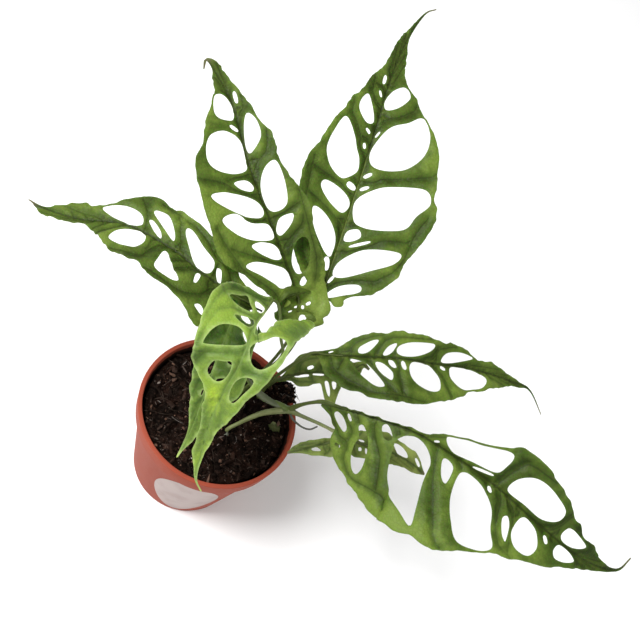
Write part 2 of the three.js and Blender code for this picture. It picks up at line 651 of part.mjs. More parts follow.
/** Turn diagonals until the triangles are as even as they can be. */
function evenOut(points, triangles, fixed) {
  for (let pass = 0; pass < 30; pass += 1) {
    const map = edgeMap(triangles);
    const touched = new Set();
    let turned = 0;
    for (const [name, pair] of map) {
      if (pair.length !== 2 || fixed.has(name) || touched.has(pair[0]) || touched.has(pair[1])) continue;
      const [a, b] = name.split(' ').map(Number);
      const c = triangles[pair[0]].find((v) => v !== a && v !== b);
      const d = triangles[pair[1]].find((v) => v !== a && v !== b);
      const [pa, pb, pc, pd] = [a, b, c, d].map((v) => points[v]);
      const split = turnOf(pc, pd, pa) * turnOf(pc, pd, pb);
      const thin = Math.min(Math.abs(turnOf(pc, pd, pa)), Math.abs(turnOf(pc, pd, pb)));
      if (split >= 0 || thin < 1e-3 || !insideCircle(pa, pb, pc, pd)) continue;
      triangles[pair[0]] = orient(points, [c, d, a]);
      triangles[pair[1]] = orient(points, [c, d, b]);
      touched.add(pair[0]);
      touched.add(pair[1]);
      turned += 1;
    }
    if (!turned) return;
  }
}

/** Wind a triangle so that it faces the blade's upper side. */
function orient(points, tri) {
  const [a, b, c] = tri;
  return turnOf(points[a], points[b], points[c]) > 0 ? [a, c, b] : [a, b, c];
}

/** Split the inner edges that are too long to follow a curved blade. */
function splitLong(points, triangles, fixed) {
  for (let pass = 0; pass < 4; pass += 1) {
    const map = edgeMap(triangles);
    const touched = new Set();
    const added = [];
    const dropped = new Set();
    for (const [name, pair] of map) {
      if (pair.length !== 2 || fixed.has(name) || touched.has(pair[0]) || touched.has(pair[1])) continue;
      const [a, b] = name.split(' ').map(Number);
      if (distance(points[a], points[b]) < LONGEST_EDGE) continue;
      const middle = points.length;
      points.push([(points[a][0] + points[b][0]) / 2, (points[a][1] + points[b][1]) / 2]);
      for (const index of pair) {
        const far = triangles[index].find((v) => v !== a && v !== b);
        added.push(orient(points, [a, middle, far]), orient(points, [middle, b, far]));
        touched.add(index);
        dropped.add(index);
      }
    }
    if (!added.length) return triangles;
    triangles = triangles.filter((_, index) => !dropped.has(index)).concat(added);
    evenOut(points, triangles, fixed);
  }
  return triangles;
}

/** One half of a blade, from the midrib out to its margin, holes left open. */
function halfBlade(surface, side, points, midrib) {
  const margin = surface.leaf[side].map((p) => [Math.min(p[0], surface.length), p[1]]);
  const sign = side === 'right' ? 1 : -1;
  const line = evenly(smooth(margin), MARGIN_STEP)
    .map(([s, t]) => [Math.min(Math.max(s, 0), surface.length), sign * Math.max(t, 0.4)]);
  const first = points.length;
  points.push(...line);
  const contour = [...midrib].reverse().concat(line.map((_, i) => first + i));
  const rings = surface.leaf.holes.map(holeRing)
    .filter((ring) => ring.reduce((sum, p) => sum + p[1], 0) * sign > 0);
  const loops = rings.map((ring) => {
    const start = points.length;
    points.push(...ring.map(([s, t]) => [s, sign * Math.max(sign * t, 0.9)]));
    return ring.map((_, i) => start + i);
  });
  const flat = (indices) => indices.map((i) => new THREE.Vector2(...points[i]));
  const order = contour.concat(...loops);
  const faces = THREE.ShapeUtils.triangulateShape(flat(contour), loops.map(flat));
  return faces.map((face) => orient(points, face.map((i) => order[i])));
}

/** A closed blade of even thickness, swelling along its midrib. */
function blade(surface) {
  const points = [];
  const ribCount = Math.round(surface.length / MIDRIB_STEP);
  const midrib = [];
  for (let i = 0; i <= ribCount; i += 1) {
    midrib.push(points.length);
    points.push([(surface.length * i) / ribCount, 0]);
  }
  let triangles = [
    ...halfBlade(surface, 'right', points, midrib),
    ...halfBlade(surface, 'left', points, midrib),
  ];
  const fixed = new Set();
  midrib.slice(1).forEach((v, i) => fixed.add(edgeKey(midrib[i], v)));
  evenOut(points, triangles, fixed);
  triangles = splitLong(points, triangles, fixed);

  const positions = [];
  const onRib = new Set(midrib);
  for (const side of [1, -1]) {
    points.forEach(([s, t], i) => {
      const taper = 1 - 0.6 * (s / surface.length);
      const full = onRib.has(i) ? Math.max(MIDRIB_THICKNESS * taper, BLADE_THICKNESS) : BLADE_THICKNESS;
      const place = surface.at(s, t).addScaledVector(surface.normal(s, t), (side * full) / 2);
      positions.push(place.x, place.y, place.z);
    });
  }
  const count = points.length;
  const indices = [];
  const directed = new Set();
  for (const [a, b, c] of triangles) {
    indices.push(a, b, c, c + count, b + count, a + count);
    directed.add(`${a} ${b}`).add(`${b} ${c}`).add(`${c} ${a}`);
  }
  for (const [a, b, c] of triangles) {
    for (const [p, q] of [[a, b], [b, c], [c, a]]) {
      if (directed.has(`${q} ${p}`)) continue;
      indices.push(q, p, p + count, q, p + count, q + count);
    }
  }
  return solid(positions, indices);
}

/** A closed solid from bare positions and triangles, turned facing out. */
function solid(positions, indices) {
  const geometry = new THREE.BufferGeometry();
  geometry.setAttribute('position', new THREE.Float32BufferAttribute(positions, 3));
  geometry.setIndex(indices);
  return toManifold(geometry);
}

/** A closed geometry as a solid that can be joined and cut. */
function toManifold(source) {
  const geometry = source.clone();
  for (const name of Object.keys(geometry.attributes)) {
    if (name !== 'position') geometry.deleteAttribute(name);
  }
  const merged = mergeVertices(geometry, 1e-4);
  const index = Array.from(merged.index.array);
  const faces = [];
  for (let i = 0; i < index.length; i += 3) {
    const [a, b, c] = index.slice(i, i + 3);
    if (a !== b && b !== c && c !== a) faces.push([a, b, c]);
  }
  const p = merged.attributes.position;
  const corner = (v) => new THREE.Vector3().fromBufferAttribute(p, v);
  const volume = faces.reduce((sum, [a, b, c]) => sum + corner(a).dot(corner(b).cross(corner(c))), 0);
  const turned = volume < 0 ? faces.map(([a, b, c]) => [a, c, b]) : faces;
  return new Manifold(new Mesh({
    numProp: 3,
    vertProperties: new Float32Array(p.array),
    triVerts: new Uint32Array(turned.flat()),
  }));
}

/** A closed round limb along a smooth path, its radius easing end to end. */
function limb(path, radii, sides = TUBE_SIDES, step = STALK_STEP) {
  const places = evenly(smooth(path), step, 3).map(vector);
  const curve = new THREE.CatmullRomCurve3(places);
  const steps = places.length - 1;
  const corners = [];
  for (let k = 0; k < sides; k += 1) {
    const a = (2 * Math.PI * k) / sides;
    corners.push(new THREE.Vector2(Math.cos(a), Math.sin(a)));
  }
  const round = new THREE.Shape(corners);
  const tube = new THREE.ExtrudeGeometry(round, { steps, extrudePath: curve });
  const centres = curve.getSpacedPoints(steps);
  const p = tube.attributes.position;
  for (let i = 0; i < p.count; i += 1) {
    const corner = new THREE.Vector3().fromBufferAttribute(p, i);
    const gaps = centres.map((centre) => centre.distanceTo(corner));
    const ring = gaps.indexOf(Math.min(...gaps));
    const radius = keyed(radii, ring / steps);
    corner.sub(centres[ring]).multiplyScalar(radius).add(centres[ring]);
    p.setXYZ(i, corner.x, corner.y, corner.z);
  }
  return toManifold(tube);
}

/** A path that stands upright in its hole before it starts to lean. */
function rooted(path) {
  const [x, y, z] = path[0];
  const foot = z - HOLE_DEPTH + SOIL_SEAT;
  return [[x, y, foot], [x, y, z - 6], [x, y, z + 3], ...path.slice(1)];
}

/** Start a stalk just clear of a node, pointing at its next place. */
function fromNode(node, radius, path) {
  const centre = vector(node);
  const away = vector(path[0]).sub(centre).normalize();
  const start = centre.addScaledVector(away, radius + NODE_GAP);
  return [start.toArray(), ...path];
}

/** A whole leaf: its blade with its stalk run on under the midrib. */
function leafSolid(leaf) {
  const surface = new Surface(leaf);
  const { stalk } = leaf;
  const starts = {
    soil: () => rooted(stalk.path),
    node: () => fromNode(NODE, NODE_RADIUS, stalk.path),
    far_node: () => fromNode(FAR_NODE, FAR_NODE_RADIUS, stalk.path),
  };
  const path = starts[stalk.from ?? 'soil']();
  const run = Math.min(MIDRIB_RUN, surface.length / 3);
  for (const ahead of [1, run / 2, run]) {
    const { origin, up } = surface.frame(stalk.joins + ahead);
    path.push(origin.addScaledVector(up, -0.25).toArray());
  }
  const [foot, top] = stalk.radii;
  const stem = limb(path, [foot, top, top, 0.5]);
  return Manifold.union([blade(surface), stem]);
}

/** The pot: a tapered cup with a rolled-out band at its rim and drain holes. */
function potSolid() {
  const bandFoot = POT_HEIGHT - POT_BAND_HEIGHT;
  const profile = [
    [0, 0], [POT_BASE_RADIUS - 1.5, 0], [POT_BASE_RADIUS, 1.5],
    [POT_NECK_RADIUS, bandFoot], [POT_BAND_RADIUS, bandFoot + 0.6],
    [POT_RIM_RADIUS, POT_HEIGHT - 1], [POT_RIM_RADIUS - 0.8, POT_HEIGHT],
    [POT_RIM_RADIUS - POT_LIP + 0.6, POT_HEIGHT], [POT_RIM_RADIUS - POT_LIP, POT_HEIGHT - 0.8],
    [POT_BAND_RADIUS - POT_LIP, bandFoot + 3],
    [POT_NECK_RADIUS - POT_WALL, bandFoot - 2],
    [POT_BASE_RADIUS - POT_WALL, POT_FLOOR + 1.5],
    [POT_BASE_RADIUS - POT_WALL - 1.5, POT_FLOOR], [0, POT_FLOOR],
  ].map(([r, z]) => new THREE.Vector2(r, z));
  const cup = toManifold(upright(new THREE.LatheGeometry(profile, POT_SIDES)));
  const drains = [];
  for (let i = 0; i < DRAIN_COUNT; i += 1) {
    const a = (2 * Math.PI * (i + 0.5)) / DRAIN_COUNT;
    const centre = [DRAIN_RING * Math.cos(a), DRAIN_RING * Math.sin(a)];
    drains.push(column(centre, DRAIN_RADIUS, DRAIN_SIDES, -4, POT_FLOOR + 4));
  }
  return Manifold.difference([cup, ...drains]);
}

/** Stand a turned shape on the Z axis. */
function upright(geometry) {
  return geometry.rotateX(Math.PI / 2);
}

/** A plain upright cylinder between two heights. */
function column([x, y], radius, sides, low, high) {
  const round = new THREE.CylinderGeometry(radius, radius, high - low, sides);
  return toManifold(upright(round).translate(x, y, (low + high) / 2));
}

/** Small lumps and dips, a smooth formula of the place. */
function lumps(x, y) {
  return Math.sin(x * 0.31 + 1.3) * Math.cos(y * 0.27 - 0.4)
    + 0.6 * Math.sin(x * 0.53 - y * 0.47 + 2.1)
    + 0.4 * Math.cos(x * 0.83 + y * 0.71);
}

/** The radius of the pot's inner wall at a height. */
function innerRadius(z) {
  const bandFoot = POT_HEIGHT - POT_BAND_HEIGHT;
  const low = POT_FLOOR + 1.5;
  const f = Math.min((z - low) / (bandFoot - 2 - low), 1);
  return (POT_BASE_RADIUS + (POT_NECK_RADIUS - POT_BASE_RADIUS) * f) - POT_WALL;
}

/** The body of soil, filling the pot to just under its lip. */
function soilSolid(feet) {
  const bottom = POT_FLOOR + SOIL_SEAT;
  const shoulder = POT_HEIGHT - POT_BAND_HEIGHT - 2.5;
  const facet = Math.cos(Math.PI / POT_SIDES);
  const fit = (z) => innerRadius(z) * facet - SOIL_CLEARANCE;
  const edge = fit(shoulder);
  const profile = [
    [0, bottom], [fit(4) - 2, bottom], [fit(4), 4.2], [edge, shoulder],
    [edge, SOIL_TOP - 1.5],
  ];
  for (const r of [0.9, 0.76, 0.6, 0.44, 0.28, 0.13]) profile.push([edge * r, SOIL_TOP]);
  profile.push([0, SOIL_TOP]);
  const body = upright(new THREE.LatheGeometry(profile.map((p) => new THREE.Vector2(...p)), SOIL_SIDES));
  const p = body.attributes.position;
  for (let i = 0; i < p.count; i += 1) {
    if (p.getZ(i) < SOIL_TOP - 0.5) continue;
    p.setZ(i, SOIL_TOP + SOIL_ROUGHNESS * lumps(p.getX(i), p.getY(i)));
  }
  const clump = new THREE.SphereGeometry(1, 22, 14);
  const q = clump.attributes.position;
  for (let i = 0; i < q.count; i += 1) {
    const [x, y, z] = [q.getX(i), q.getY(i), q.getZ(i)];
    const ends = 1 - Math.abs(y) ** 4;
    const swell = 1 + 0.12 * ends * Math.sin(5 * x + 3 * z) * Math.cos(6 * y + 1);
    q.setXYZ(i, x * swell * CLUMP_RADII[0], y * swell * CLUMP_RADII[1], z * swell * CLUMP_RADII[2]);
  }
  clump.rotateZ(radians(CLUMP_TURN)).translate(...CLUMP_CENTRE);
  const rim = ringSolid(edge, POT_RIM_RADIUS + 14, 60, POT_HEIGHT + 0.4);
  const heap = Manifold.difference([toManifold(clump), rim]);
  const holes = feet.map(({ at, radius }) => (
    column(at, radius + HOLE_CLEARANCE, HOLE_SIDES, SOIL_TOP - HOLE_DEPTH, SOIL_TOP + 40)));
  return Manifold.difference([Manifold.union([toManifold(body), heap]), ...holes]);
}

/** A plain ring between two radii and two heights. */
function ringSolid(inner, outer, low, high) {
  return Manifold.difference([
    column([0, 0], outer, POT_SIDES, low, high),
    column([0, 0], inner, POT_SIDES, low - 1, high + 1),
  ]);
}

/** A round swelling of the stem. */
function knob(centre, radius) {
  return toManifold(new THREE.SphereGeometry(radius, 14, 9).translate(...centre));
}

/** The creeping stem, its two nodes and the thin root hooked from the first. */
function vineSolid() {
  return Manifold.union([
    limb(rooted(VINE_PATH), VINE_RADII),
    limb(BRANCH_PATH, BRANCH_RADII),
    limb(ROOT_PATH, ROOT_RADII, ROOT_SIDES, ROOT_STEP),
    knob(NODE, NODE_RADIUS),
    knob(FAR_NODE, FAR_NODE_RADIUS),
  ]);
}

/** A named mesh of a solid, in one of the finishes. */
function toMesh(body, name, finish) {
  const { vertProperties, triVerts, numProp } = body.getMesh();
  const positions = [];
  for (let i = 0; i < vertProperties.length; i += numProp) {
    positions.push(vertProperties[i], vertProperties[i + 1], vertProperties[i + 2]);
  }
  const geometry = new THREE.BufferGeometry();
  geometry.setAttribute('position', new THREE.Float32BufferAttribute(positions, 3));
  geometry.setIndex(Array.from(triVerts));
  geometry.computeVertexNormals();
  const mesh = new THREE.Mesh(geometry, new THREE.MeshStandardMaterial(COLOURS[finish]));
  mesh.name = name;
  mesh.material.name = finish;
  return mesh;
}

const feet = Object.values(LEAVES)
  .filter(({ stalk }) => !stalk.from)
  .map(({ stalk }) => ({ at: stalk.path[0], radius: stalk.radii[0] }));
feet.push({ at: VINE_PATH[0], radius: VINE_RADII[0] });

const potted = new THREE.Group();
potted.name = 'pot_and_soil';
potted.add(toMesh(potSolid(), 'pot', 'plastic'));
potted.add(toMesh(soilSolid(feet), 'soil', 'soil'));

const foliage = new THREE.Group();
foliage.name = 'stem_and_leaves';
foliage.add(toMesh(vineSolid(), 'vine', 'stem'));
for (const [name, leaf] of Object.entries(LEAVES)) {
  foliage.add(toMesh(leafSolid(leaf), name, YOUNG.includes(name) ? 'young_leaf' : 'leaf'));
}

const plant = new THREE.Group();
plant.name = 'potted_monstera_obliqua';
plant.add(potted, foliage);

export default plant;
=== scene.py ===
"""A potted monstera obliqua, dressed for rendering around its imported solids.

Lengths typed here are millimetres and become metres through MM. The pot's
underside lies on z = 0 with its axis on Z, and the front of the plant faces -Y.

A place on a blade is (s, t): s runs along the midrib from the leaf's base and t
across it, to the right with the tip ahead. Margins and holes are both written
that way, as in the part's own source.
"""

from __future__ import annotations

import logging
import math
import random
from collections.abc import Iterable, Iterator, Sequence
from contextlib import contextmanager
from dataclasses import dataclass
from enum import Enum
from functools import cache

import bpy
import numpy as np
from mathutils import Matrix, Vector, kdtree, noise
from mathutils.bvhtree import BVHTree
from mathutils.geometry import delaunay_2d_cdt


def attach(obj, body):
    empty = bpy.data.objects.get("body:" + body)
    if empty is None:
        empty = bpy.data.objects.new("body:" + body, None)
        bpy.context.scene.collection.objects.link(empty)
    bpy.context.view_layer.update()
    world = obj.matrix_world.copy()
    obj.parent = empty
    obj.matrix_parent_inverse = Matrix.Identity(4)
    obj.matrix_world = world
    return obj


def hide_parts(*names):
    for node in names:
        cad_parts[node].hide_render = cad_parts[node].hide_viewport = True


MM = 0.001
LOG = logging.getLogger("plant")

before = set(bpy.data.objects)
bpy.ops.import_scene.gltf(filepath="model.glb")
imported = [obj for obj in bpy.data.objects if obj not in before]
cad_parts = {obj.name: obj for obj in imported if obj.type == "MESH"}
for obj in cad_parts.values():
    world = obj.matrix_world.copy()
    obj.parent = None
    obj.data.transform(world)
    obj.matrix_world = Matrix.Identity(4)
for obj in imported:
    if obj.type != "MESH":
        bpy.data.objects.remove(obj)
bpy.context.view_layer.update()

Pair = tuple[float, float]
Triple = tuple[float, float, float]
Colour = tuple[float, float, float]
Face = tuple[int, ...]
Rows = np.ndarray
Thing = bpy.types.Object
Material = bpy.types.Material
Socket = bpy.types.NodeSocket


class Slot(Enum):
    """The plant's material slots."""

    PLASTIC = "plastic"
    SOIL = "soil"
    STEM = "stem"
    LEAF = "leaf"
    YOUNG_LEAF = "young_leaf"


class Root(Enum):
    """What a leaf's stalk starts from."""

    SOIL = "soil"
    NODE = "node"
    FAR_NODE = "far_node"


class Green(Enum):
    """Which green a leaf is."""

    MATURE = "mature"
    YOUNG = "young"
    DULL = "dull"


# The stem's two nodes with their radii, and the depth of the holes that stalks
# stand in with the gap left under them.
NODE = (42, 21, 125)
NODE_RADIUS = 3.4
FAR_NODE = (84, 21, 137)
FAR_NODE_RADIUS = 2.6
HOLE_DEPTH = 14
SOIL_SEAT = 0.2


@dataclass(frozen=True)
class Stalk:
    """A leaf's stalk.

    path: points from its foot to the blade. radii: at the foot and at the
    blade. joins: where it meets the midrib. root: what it starts from.
    """

    path: tuple[Triple, ...]
    radii: Pair
    joins: float = 0
    root: Root = Root.SOIL


@dataclass(frozen=True)
class Fold:
    """A soft ridge or hollow in a blade.

    line: its places (s, t). height: how far it stands up, or down if below 0.
    width: how far it spreads to each side.
    """

    line: tuple[Pair, ...]
    height: float
    width: float


@dataclass(frozen=True)
class Flap:
    """A curled lobe that stands off a blade.

    root: places (s, t) where it leaves the blade. edge: places of its free
    edge. height: how high it arches. drop: how far its edge comes back down,
    as a share. tone: how much lighter or darker it is.
    """

    root: tuple[Pair, ...]
    edge: tuple[Pair, ...]
    height: float
    drop: float = 0.6
    tone: float = 0


@dataclass(frozen=True)
class Wash:
    """A lighter or darker place on a blade, some the leaf's own tone and some painted highlight and painted
    shade: where, how wide and how strong.
    """

    place: Pair
    reach: Pair
    strength: float


@dataclass(frozen=True)
class LeafShape:
    """One leaf as read from the plant.

    node: the node that it stands for. spine: points of the midrib. face: the
    way the upper side looks, at even places from base to tip. fold_left and
    fold_right: how far each half is folded up, in degrees, likewise. left and
    right: (s, half width) down each margin. holes: loops of (s, t), or ovals
    (s, t, length, width, slant). finish: its green. seed: which noise it has.
    rib_from: where the ribs start to show. pale_to: how far up the midrib is
    pale. core: how strongly painted shade darkens the blade beside it. folds,
    flaps and washes: its relief, its curled lobes, and its lighter and darker
    places, partly painted highlight and painted shade.
    """

    node: str
    spine: tuple[Triple, ...]
    face: tuple[Triple, ...]
    fold_left: tuple[float, ...]
    fold_right: tuple[float, ...]
    left: tuple[Pair, ...]
    right: tuple[Pair, ...]
    holes: tuple[tuple, ...]
    stalk: Stalk
    finish: Green = Green.MATURE
    seed: int = 0
    rib_from: float = -9
    pale_to: float = 0
    core: float = 0.5
    folds: tuple[Fold, ...] = ()
    flaps: tuple[Flap, ...] = ()
    washes: tuple[Wash, ...] = ()


TALL_RIGHT = LeafShape(
    node="leaf_tall_right", seed=1, pale_to=118, core=0.75, face=((0.1, -0.35, 1), (0.1, -0.35, 1)),
    fold_left=(12, 12), fold_right=(12, 12),
    stalk=Stalk(((14, 38, 97), (18, 50, 145), (16, 60, 175)), (1.9, 1.2), 8),
    spine=(
        (16, 62, 196.5), (14, 69, 200), (8, 89, 210), (-3, 124, 230), (-17, 169, 252), (-30, 212, 266),
        (-38, 253, 272), (-40, 298, 274), (-35, 312, 276),
    ),
    left=(
        (0, 0.6), (6.5, 2.2), (8, 5), (12, 14), (20, 24), (33, 33), (53, 40), (73, 43), (88, 44), (98, 42),
        (108, 38.5), (118, 35.5), (128, 33), (138, 28.5), (148, 25.5), (158, 20), (171, 15.5), (183, 10),
        (198, 7), (218, 5.5), (233, 4), (248, 2.2), (263, 1), (275, 0.5),
    ),
    right=(
        (0, 0.6), (4.6, 0.9), (5.4, 3), (4.4, 7), (2.4, 9.8), (2.2, 12.6), (3.4, 15.4), (6, 16.6),
        (8.8, 16.2), (12.4, 20.4), (15, 26.6), (17.6, 33), (22.2, 37.2), (27, 41), (32.7, 44), (38, 47.2),
        (50, 49.4), (58, 53), (68, 57), (80, 59.5), (90, 59), (98, 54.5), (105, 55), (118, 52), (128, 49),
        (138, 45), (148, 38), (158, 30), (168, 24), (173, 17.5), (180, 12), (190, 8), (208, 5), (220, 2),
        (233, 0.6), (275, 0.4),
    ),
    holes=(
        (12.5, -2.6, 5, 1.6, -15), (29, -4.6, 10, 5, -15),
        ((36, -3), (48, -4), (58, -12), (63, -22), (62, -28), (52, -24), (42, -15), (35, -7)),
        ((68, -4), (75, -2), (82, -9), (84, -24), (79, -27), (72, -20), (67, -9)), (87.5, -5, 8, 4.6, -75),
        ((92, -10), (101, -4), (116, -10), (128, -19), (132, -26), (122, -30), (106, -32), (95, -26),
         (90, -16)),
        (119, -4.8, 4.4, 2.2, -25), (130.4, -5.8, 5, 2.6, -60),
        ((139, -3.5), (149, -7.5), (157, -13.5), (150, -18), (142, -17.5), (136, -9)),
        (162.5, -4.4, 5.4, 2.4, -30), (175.3, -4.7, 7.5, 3, -5), (19.7, 2.6, 7, 2.2, 25),
        ((7, 2.2), (9.2, 3), (12.6, 5.2), (16.2, 8.6), (19.4, 13.7), (21.8, 20.3), (21.6, 23.6), (20, 25),
         (17.6, 24.6), (14.8, 21), (12, 15.4), (9.2, 10.4), (7, 6.2), (6.4, 3.8)),
        ((23, 3), (33, 4), (46, 16), (51, 30), (52.5, 44), (44, 41), (34, 27), (24, 11)),
        ((49, 2.5), (56, 3), (59.5, 10), (55, 13), (50, 8)), (50, 14, 16, 2, 58),
        ((66, 4), (78, 1.6), (88, 9), (96, 22), (102, 46), (93, 53), (81, 46), (70, 41), (64, 26), (62, 11)),
        (89.3, 5, 7.5, 2.8, 52), (99, 4.4, 7, 2.8, 48),
        ((107, 5), (115, 1.2), (126, 3.4), (139, 10), (146, 21), (154, 31), (141, 39), (126, 39), (113, 30),
         (106.5, 15)),
        (131, 2.4, 6, 1.6, 22), ((152, 4), (158, 0.9), (169, 4.5), (175, 12), (168, 18), (157, 12)),
    ),
    washes=(
        Wash((6, 13), (5, 7), 1.0), Wash((103, 48), (26, 9), -0.25), Wash((66, 46), (22, 12), -0.2),
        Wash((130, 30), (26, 16), -0.4), Wash((175, 4), (30, 14), -0.3), Wash((100, -24), (40, 8), -0.3),
        Wash((92, 10), (30, 30), -0.25),
    ),
)

TALL_MIDDLE = LeafShape(
    node="leaf_tall_middle", seed=2, rib_from=28, core=0.8, face=((0.1, -0.35, 1), (0, -0.3, 1)),
    fold_left=(14, 12), fold_right=(14, 12),
    stalk=Stalk(((8, 33, 97), (12.5, 44, 140), (12, 49, 165)), (1.9, 1.2), 14),
    spine=(
        (11, 46, 184), (5, 53, 196), (-7, 58, 206), (-41, 72, 228), (-76, 91, 244), (-107, 120, 250),
        (-131, 139, 248), (-145, 150, 244), (-144, 146, 238),
    ),
    left=(
        (0, 7), (2, 14), (6, 18.5), (11, 19.5), (18, 18), (26, 19.5), (36, 24), (46, 30.5), (52, 34),
        (57, 40), (63, 44.5), (73, 46), (86, 44.5), (101, 42.5), (116, 40), (121, 39), (126, 35.5), (132, 30),
        (141, 26.5), (151, 22.5), (161, 17.5), (171, 11.5), (181, 7.5), (191, 4), (200, 1.2), (217, 0.5),
    ),
    right=(
        (0, 9), (1.6, 13.4), (4.6, 18), (7.4, 18.6), (9.6, 17.6), (13, 21.6), (18, 20), (26, 22), (36, 24.5),
        (56, 25), (66, 27), (76, 29), (84, 29), (96, 25), (106, 22.2), (114, 20.6), (129, 21.5), (137, 20),
        (146, 15), (156, 12), (176, 8), (196, 5.5), (206, 4), (212, 1.5), (217, 0.5),
    ),
    holes=(
        ((31, -2), (32, -11), (38, -15.5), (46, -22), (56, -30.5), (56, -22), (47, -7), (40, -1.6)),
        ((51, -2), (52, -8), (61, -18), (66.5, -21), (66, -13), (60, -3.5)),
        ((65, -3), (69, -18), (77, -29), (88, -34.5), (89, -24), (80, -14.5), (75, -3)),
        ((81, -5), (84, -15), (92, -26), (103, -35), (103, -24), (96, -9), (87, -2.6)),
        ((99, -5), (102, -12), (107, -15.5), (107, -7), (102, -3)),
        ((113, -4), (113, -16), (119, -28), (128, -28.5), (138, -22), (141, -11), (134, -2), (121, -1.6)),
        (143.4, -4.4, 7, 3.2, -50), ((150, -4), (151, -13), (158, -15.5), (171, -11), (172, -4), (160, -1.1)),
        (10.1, -6.6, 1.5, 3.8, 0), (13.9, -2.7, 2.2, 3, 0),
        ((3.2, 1.2), (6.4, 1), (7.8, 3.5), (6.4, 6.2), (4, 4.6)), (13.4, 2.2, 2.8, 2.2, 0),
        (15.9, 6, 3.8, 1.6, 66), (30.3, 7, 7, 4.2, 45),
        ((37, 4.4), (46, 4), (56, 10), (59, 17), (54, 19.6), (42, 15.5), (36.5, 10)),
        ((65, 3.5), (69, 1.4), (76, 6.5), (76, 16), (70, 12.5)),
        ((81, 6), (86, 1.2), (100, 2.2), (111, 9), (114, 17.6), (100, 19), (84, 15)),
        ((124, 3.4), (130, 1.2), (146, 3.6), (154, 7.6), (147, 12.6), (134, 12.6)), (168, 3.8, 10, 2.8, 8),
    ),
    folds=(
        Fold(((13, 10), (12.5, 16)), 3.4, 5.5), Fold(((17.5, 4), (19, 10), (18.5, 16)), -1.2, 1.8),
        Fold(((13, 4), (14, 12), (16, 19)), -0.9, 1.0), Fold(((11, 6), (9, 12), (9, 18)), -1.0, 1.1),
        Fold(((19, -9), (19, -3), (18.5, 2)), -2.6, 2.6),
        Fold(((6, -13), (7, -6), (8.5, 0), (8, 8)), -2.0, 3.0),
    ),
    flaps=(
        Flap(
            ((24, -16.6), (28.4, -13.4), (31, -8.6), (30.6, -3.5), (28.4, 1.5), (25.6, 5.9), (22, 9.4)),
            ((20.4, -14), (23, -11.4), (24.4, -7.6), (23.6, -3), (22.2, 1.4), (20.8, 5), (19.4, 8)),
            5.6, 0.75, 0.15,
        ),
        Flap(
            ((18.2, -12.8), (20, -12.2), (22, -11.2), (23.6, -10.2)),
            ((18.6, -10.2), (20.2, -9.2), (21.8, -8.4), (23.4, -7.8)),
            3.4, 0.5, 0.8,
        ),
        Flap(
            ((9, 4), (10.4, 8), (10.6, 12), (9, 16)),
            ((4.6, 5), (5.6, 9), (5.4, 13), (4.4, 16)),
            2.4, 0.5, 0.3,
        ),
    ),
    washes=(
        Wash((80, -40), (34, 8), -0.05), Wash((12.5, 14), (10, 11), 1.9), Wash((20, -5), (4.5, 8), -0.2),
        Wash((8, -6), (5, 10), 0.4), Wash((112, 26), (30, 10), -0.3), Wash((60, 6), (40, 8), -0.2),
        Wash((158, 3), (22, 14), 0.1),
    ),
)

FAR_LEFT = LeafShape(
    node="leaf_far_left", seed=3, core=0.65, face=((-0.15, 0, 1), (-0.2, 0, 1)), fold_left=(2, 14, 12),
    fold_right=(14, 12), stalk=Stalk(((0, 24, 97), (-6, 27, 140), (-11, 29, 175)), (1.8, 1.2), 7),
    spine=(
        (-13, 28, 200), (-30, 23, 205), (-58, 20, 209), (-84, 24, 207), (-120, 26, 198), (-148, 18, 185),
        (-174, 17, 173), (-189, 19, 168),
    ),
    left=(
        (0, 0.6), (6.4, 1), (8.6, 3.4), (15, 4.4), (22, 4.2), (27, 3.6), (29.6, 8), (30.6, 16), (30.6, 26),
        (31.6, 35), (34, 39.6), (36.6, 40), (39, 37.7), (43.5, 33.8), (47.2, 30.6), (50, 29.6), (57, 29.5),
        (70, 32), (80, 30), (88, 32.5), (103, 30.5), (115, 26), (123, 20), (130, 12), (138, 6.2), (145, 7),
        (168, 6.3), (175, 4), (181, 1.6), (187, 0.5),
    ),
    right=(
        (0, 0.6), (6.4, 1), (8.4, 5.4), (11.7, 8.2), (19.5, 9.8), (24.8, 12.6), (29.7, 15.8), (35, 17.2),
        (40.4, 16.7), (46.4, 17.1), (51.3, 18.8), (55.7, 21.2), (60, 23.5), (75, 25.5), (85, 27), (93, 26),
        (100, 27.5), (110, 25), (116, 19), (124, 13), (135, 11.5), (144, 13.5), (155, 10.5), (165, 5.5),
        (172, 1.5), (187, 0.4),
    ),
    holes=(
        ((54, -19), (61, -23.5), (71, -24), (75, -14), (75.5, -6), (66, -11)),
        ((47, -10), (48.4, -11.5), (50.6, -4), (48, -3)),
        ((91, -8), (91, -19), (99, -22.5), (111, -21.5), (115, -16), (108, -6), (97, -1.2)),
        ((41.2, -26.8), (39.5, -24.2), (36.6, -25.4), (34.6, -29.6), (36.4, -30), (39, -28.6)),
        ((101.5, 4), (108, 1), (120, 3), (129, 10), (116, 13), (105, 10.5)),
        ((85, 2), (92, 4), (99.5, 9.6), (96, 10), (88, 6)),
        ((77, 5), (86, 8.4), (98, 14.6), (99, 18), (90, 18.4), (80, 10.5)),
        ((44, 7), (46, 1.4), (56, 1.4), (67, 8), (75, 16), (72, 18.6), (60, 14), (48, 12)),
        ((34.6, 1.2), (38, 2), (42, 9), (38.5, 8.6)),
    ),
    washes=(Wash((104, 20), (30, 7), 0.1), Wash((50, -22), (30, 12), 0.05), Wash((80, 0), (36, 18), 0.15)),
)

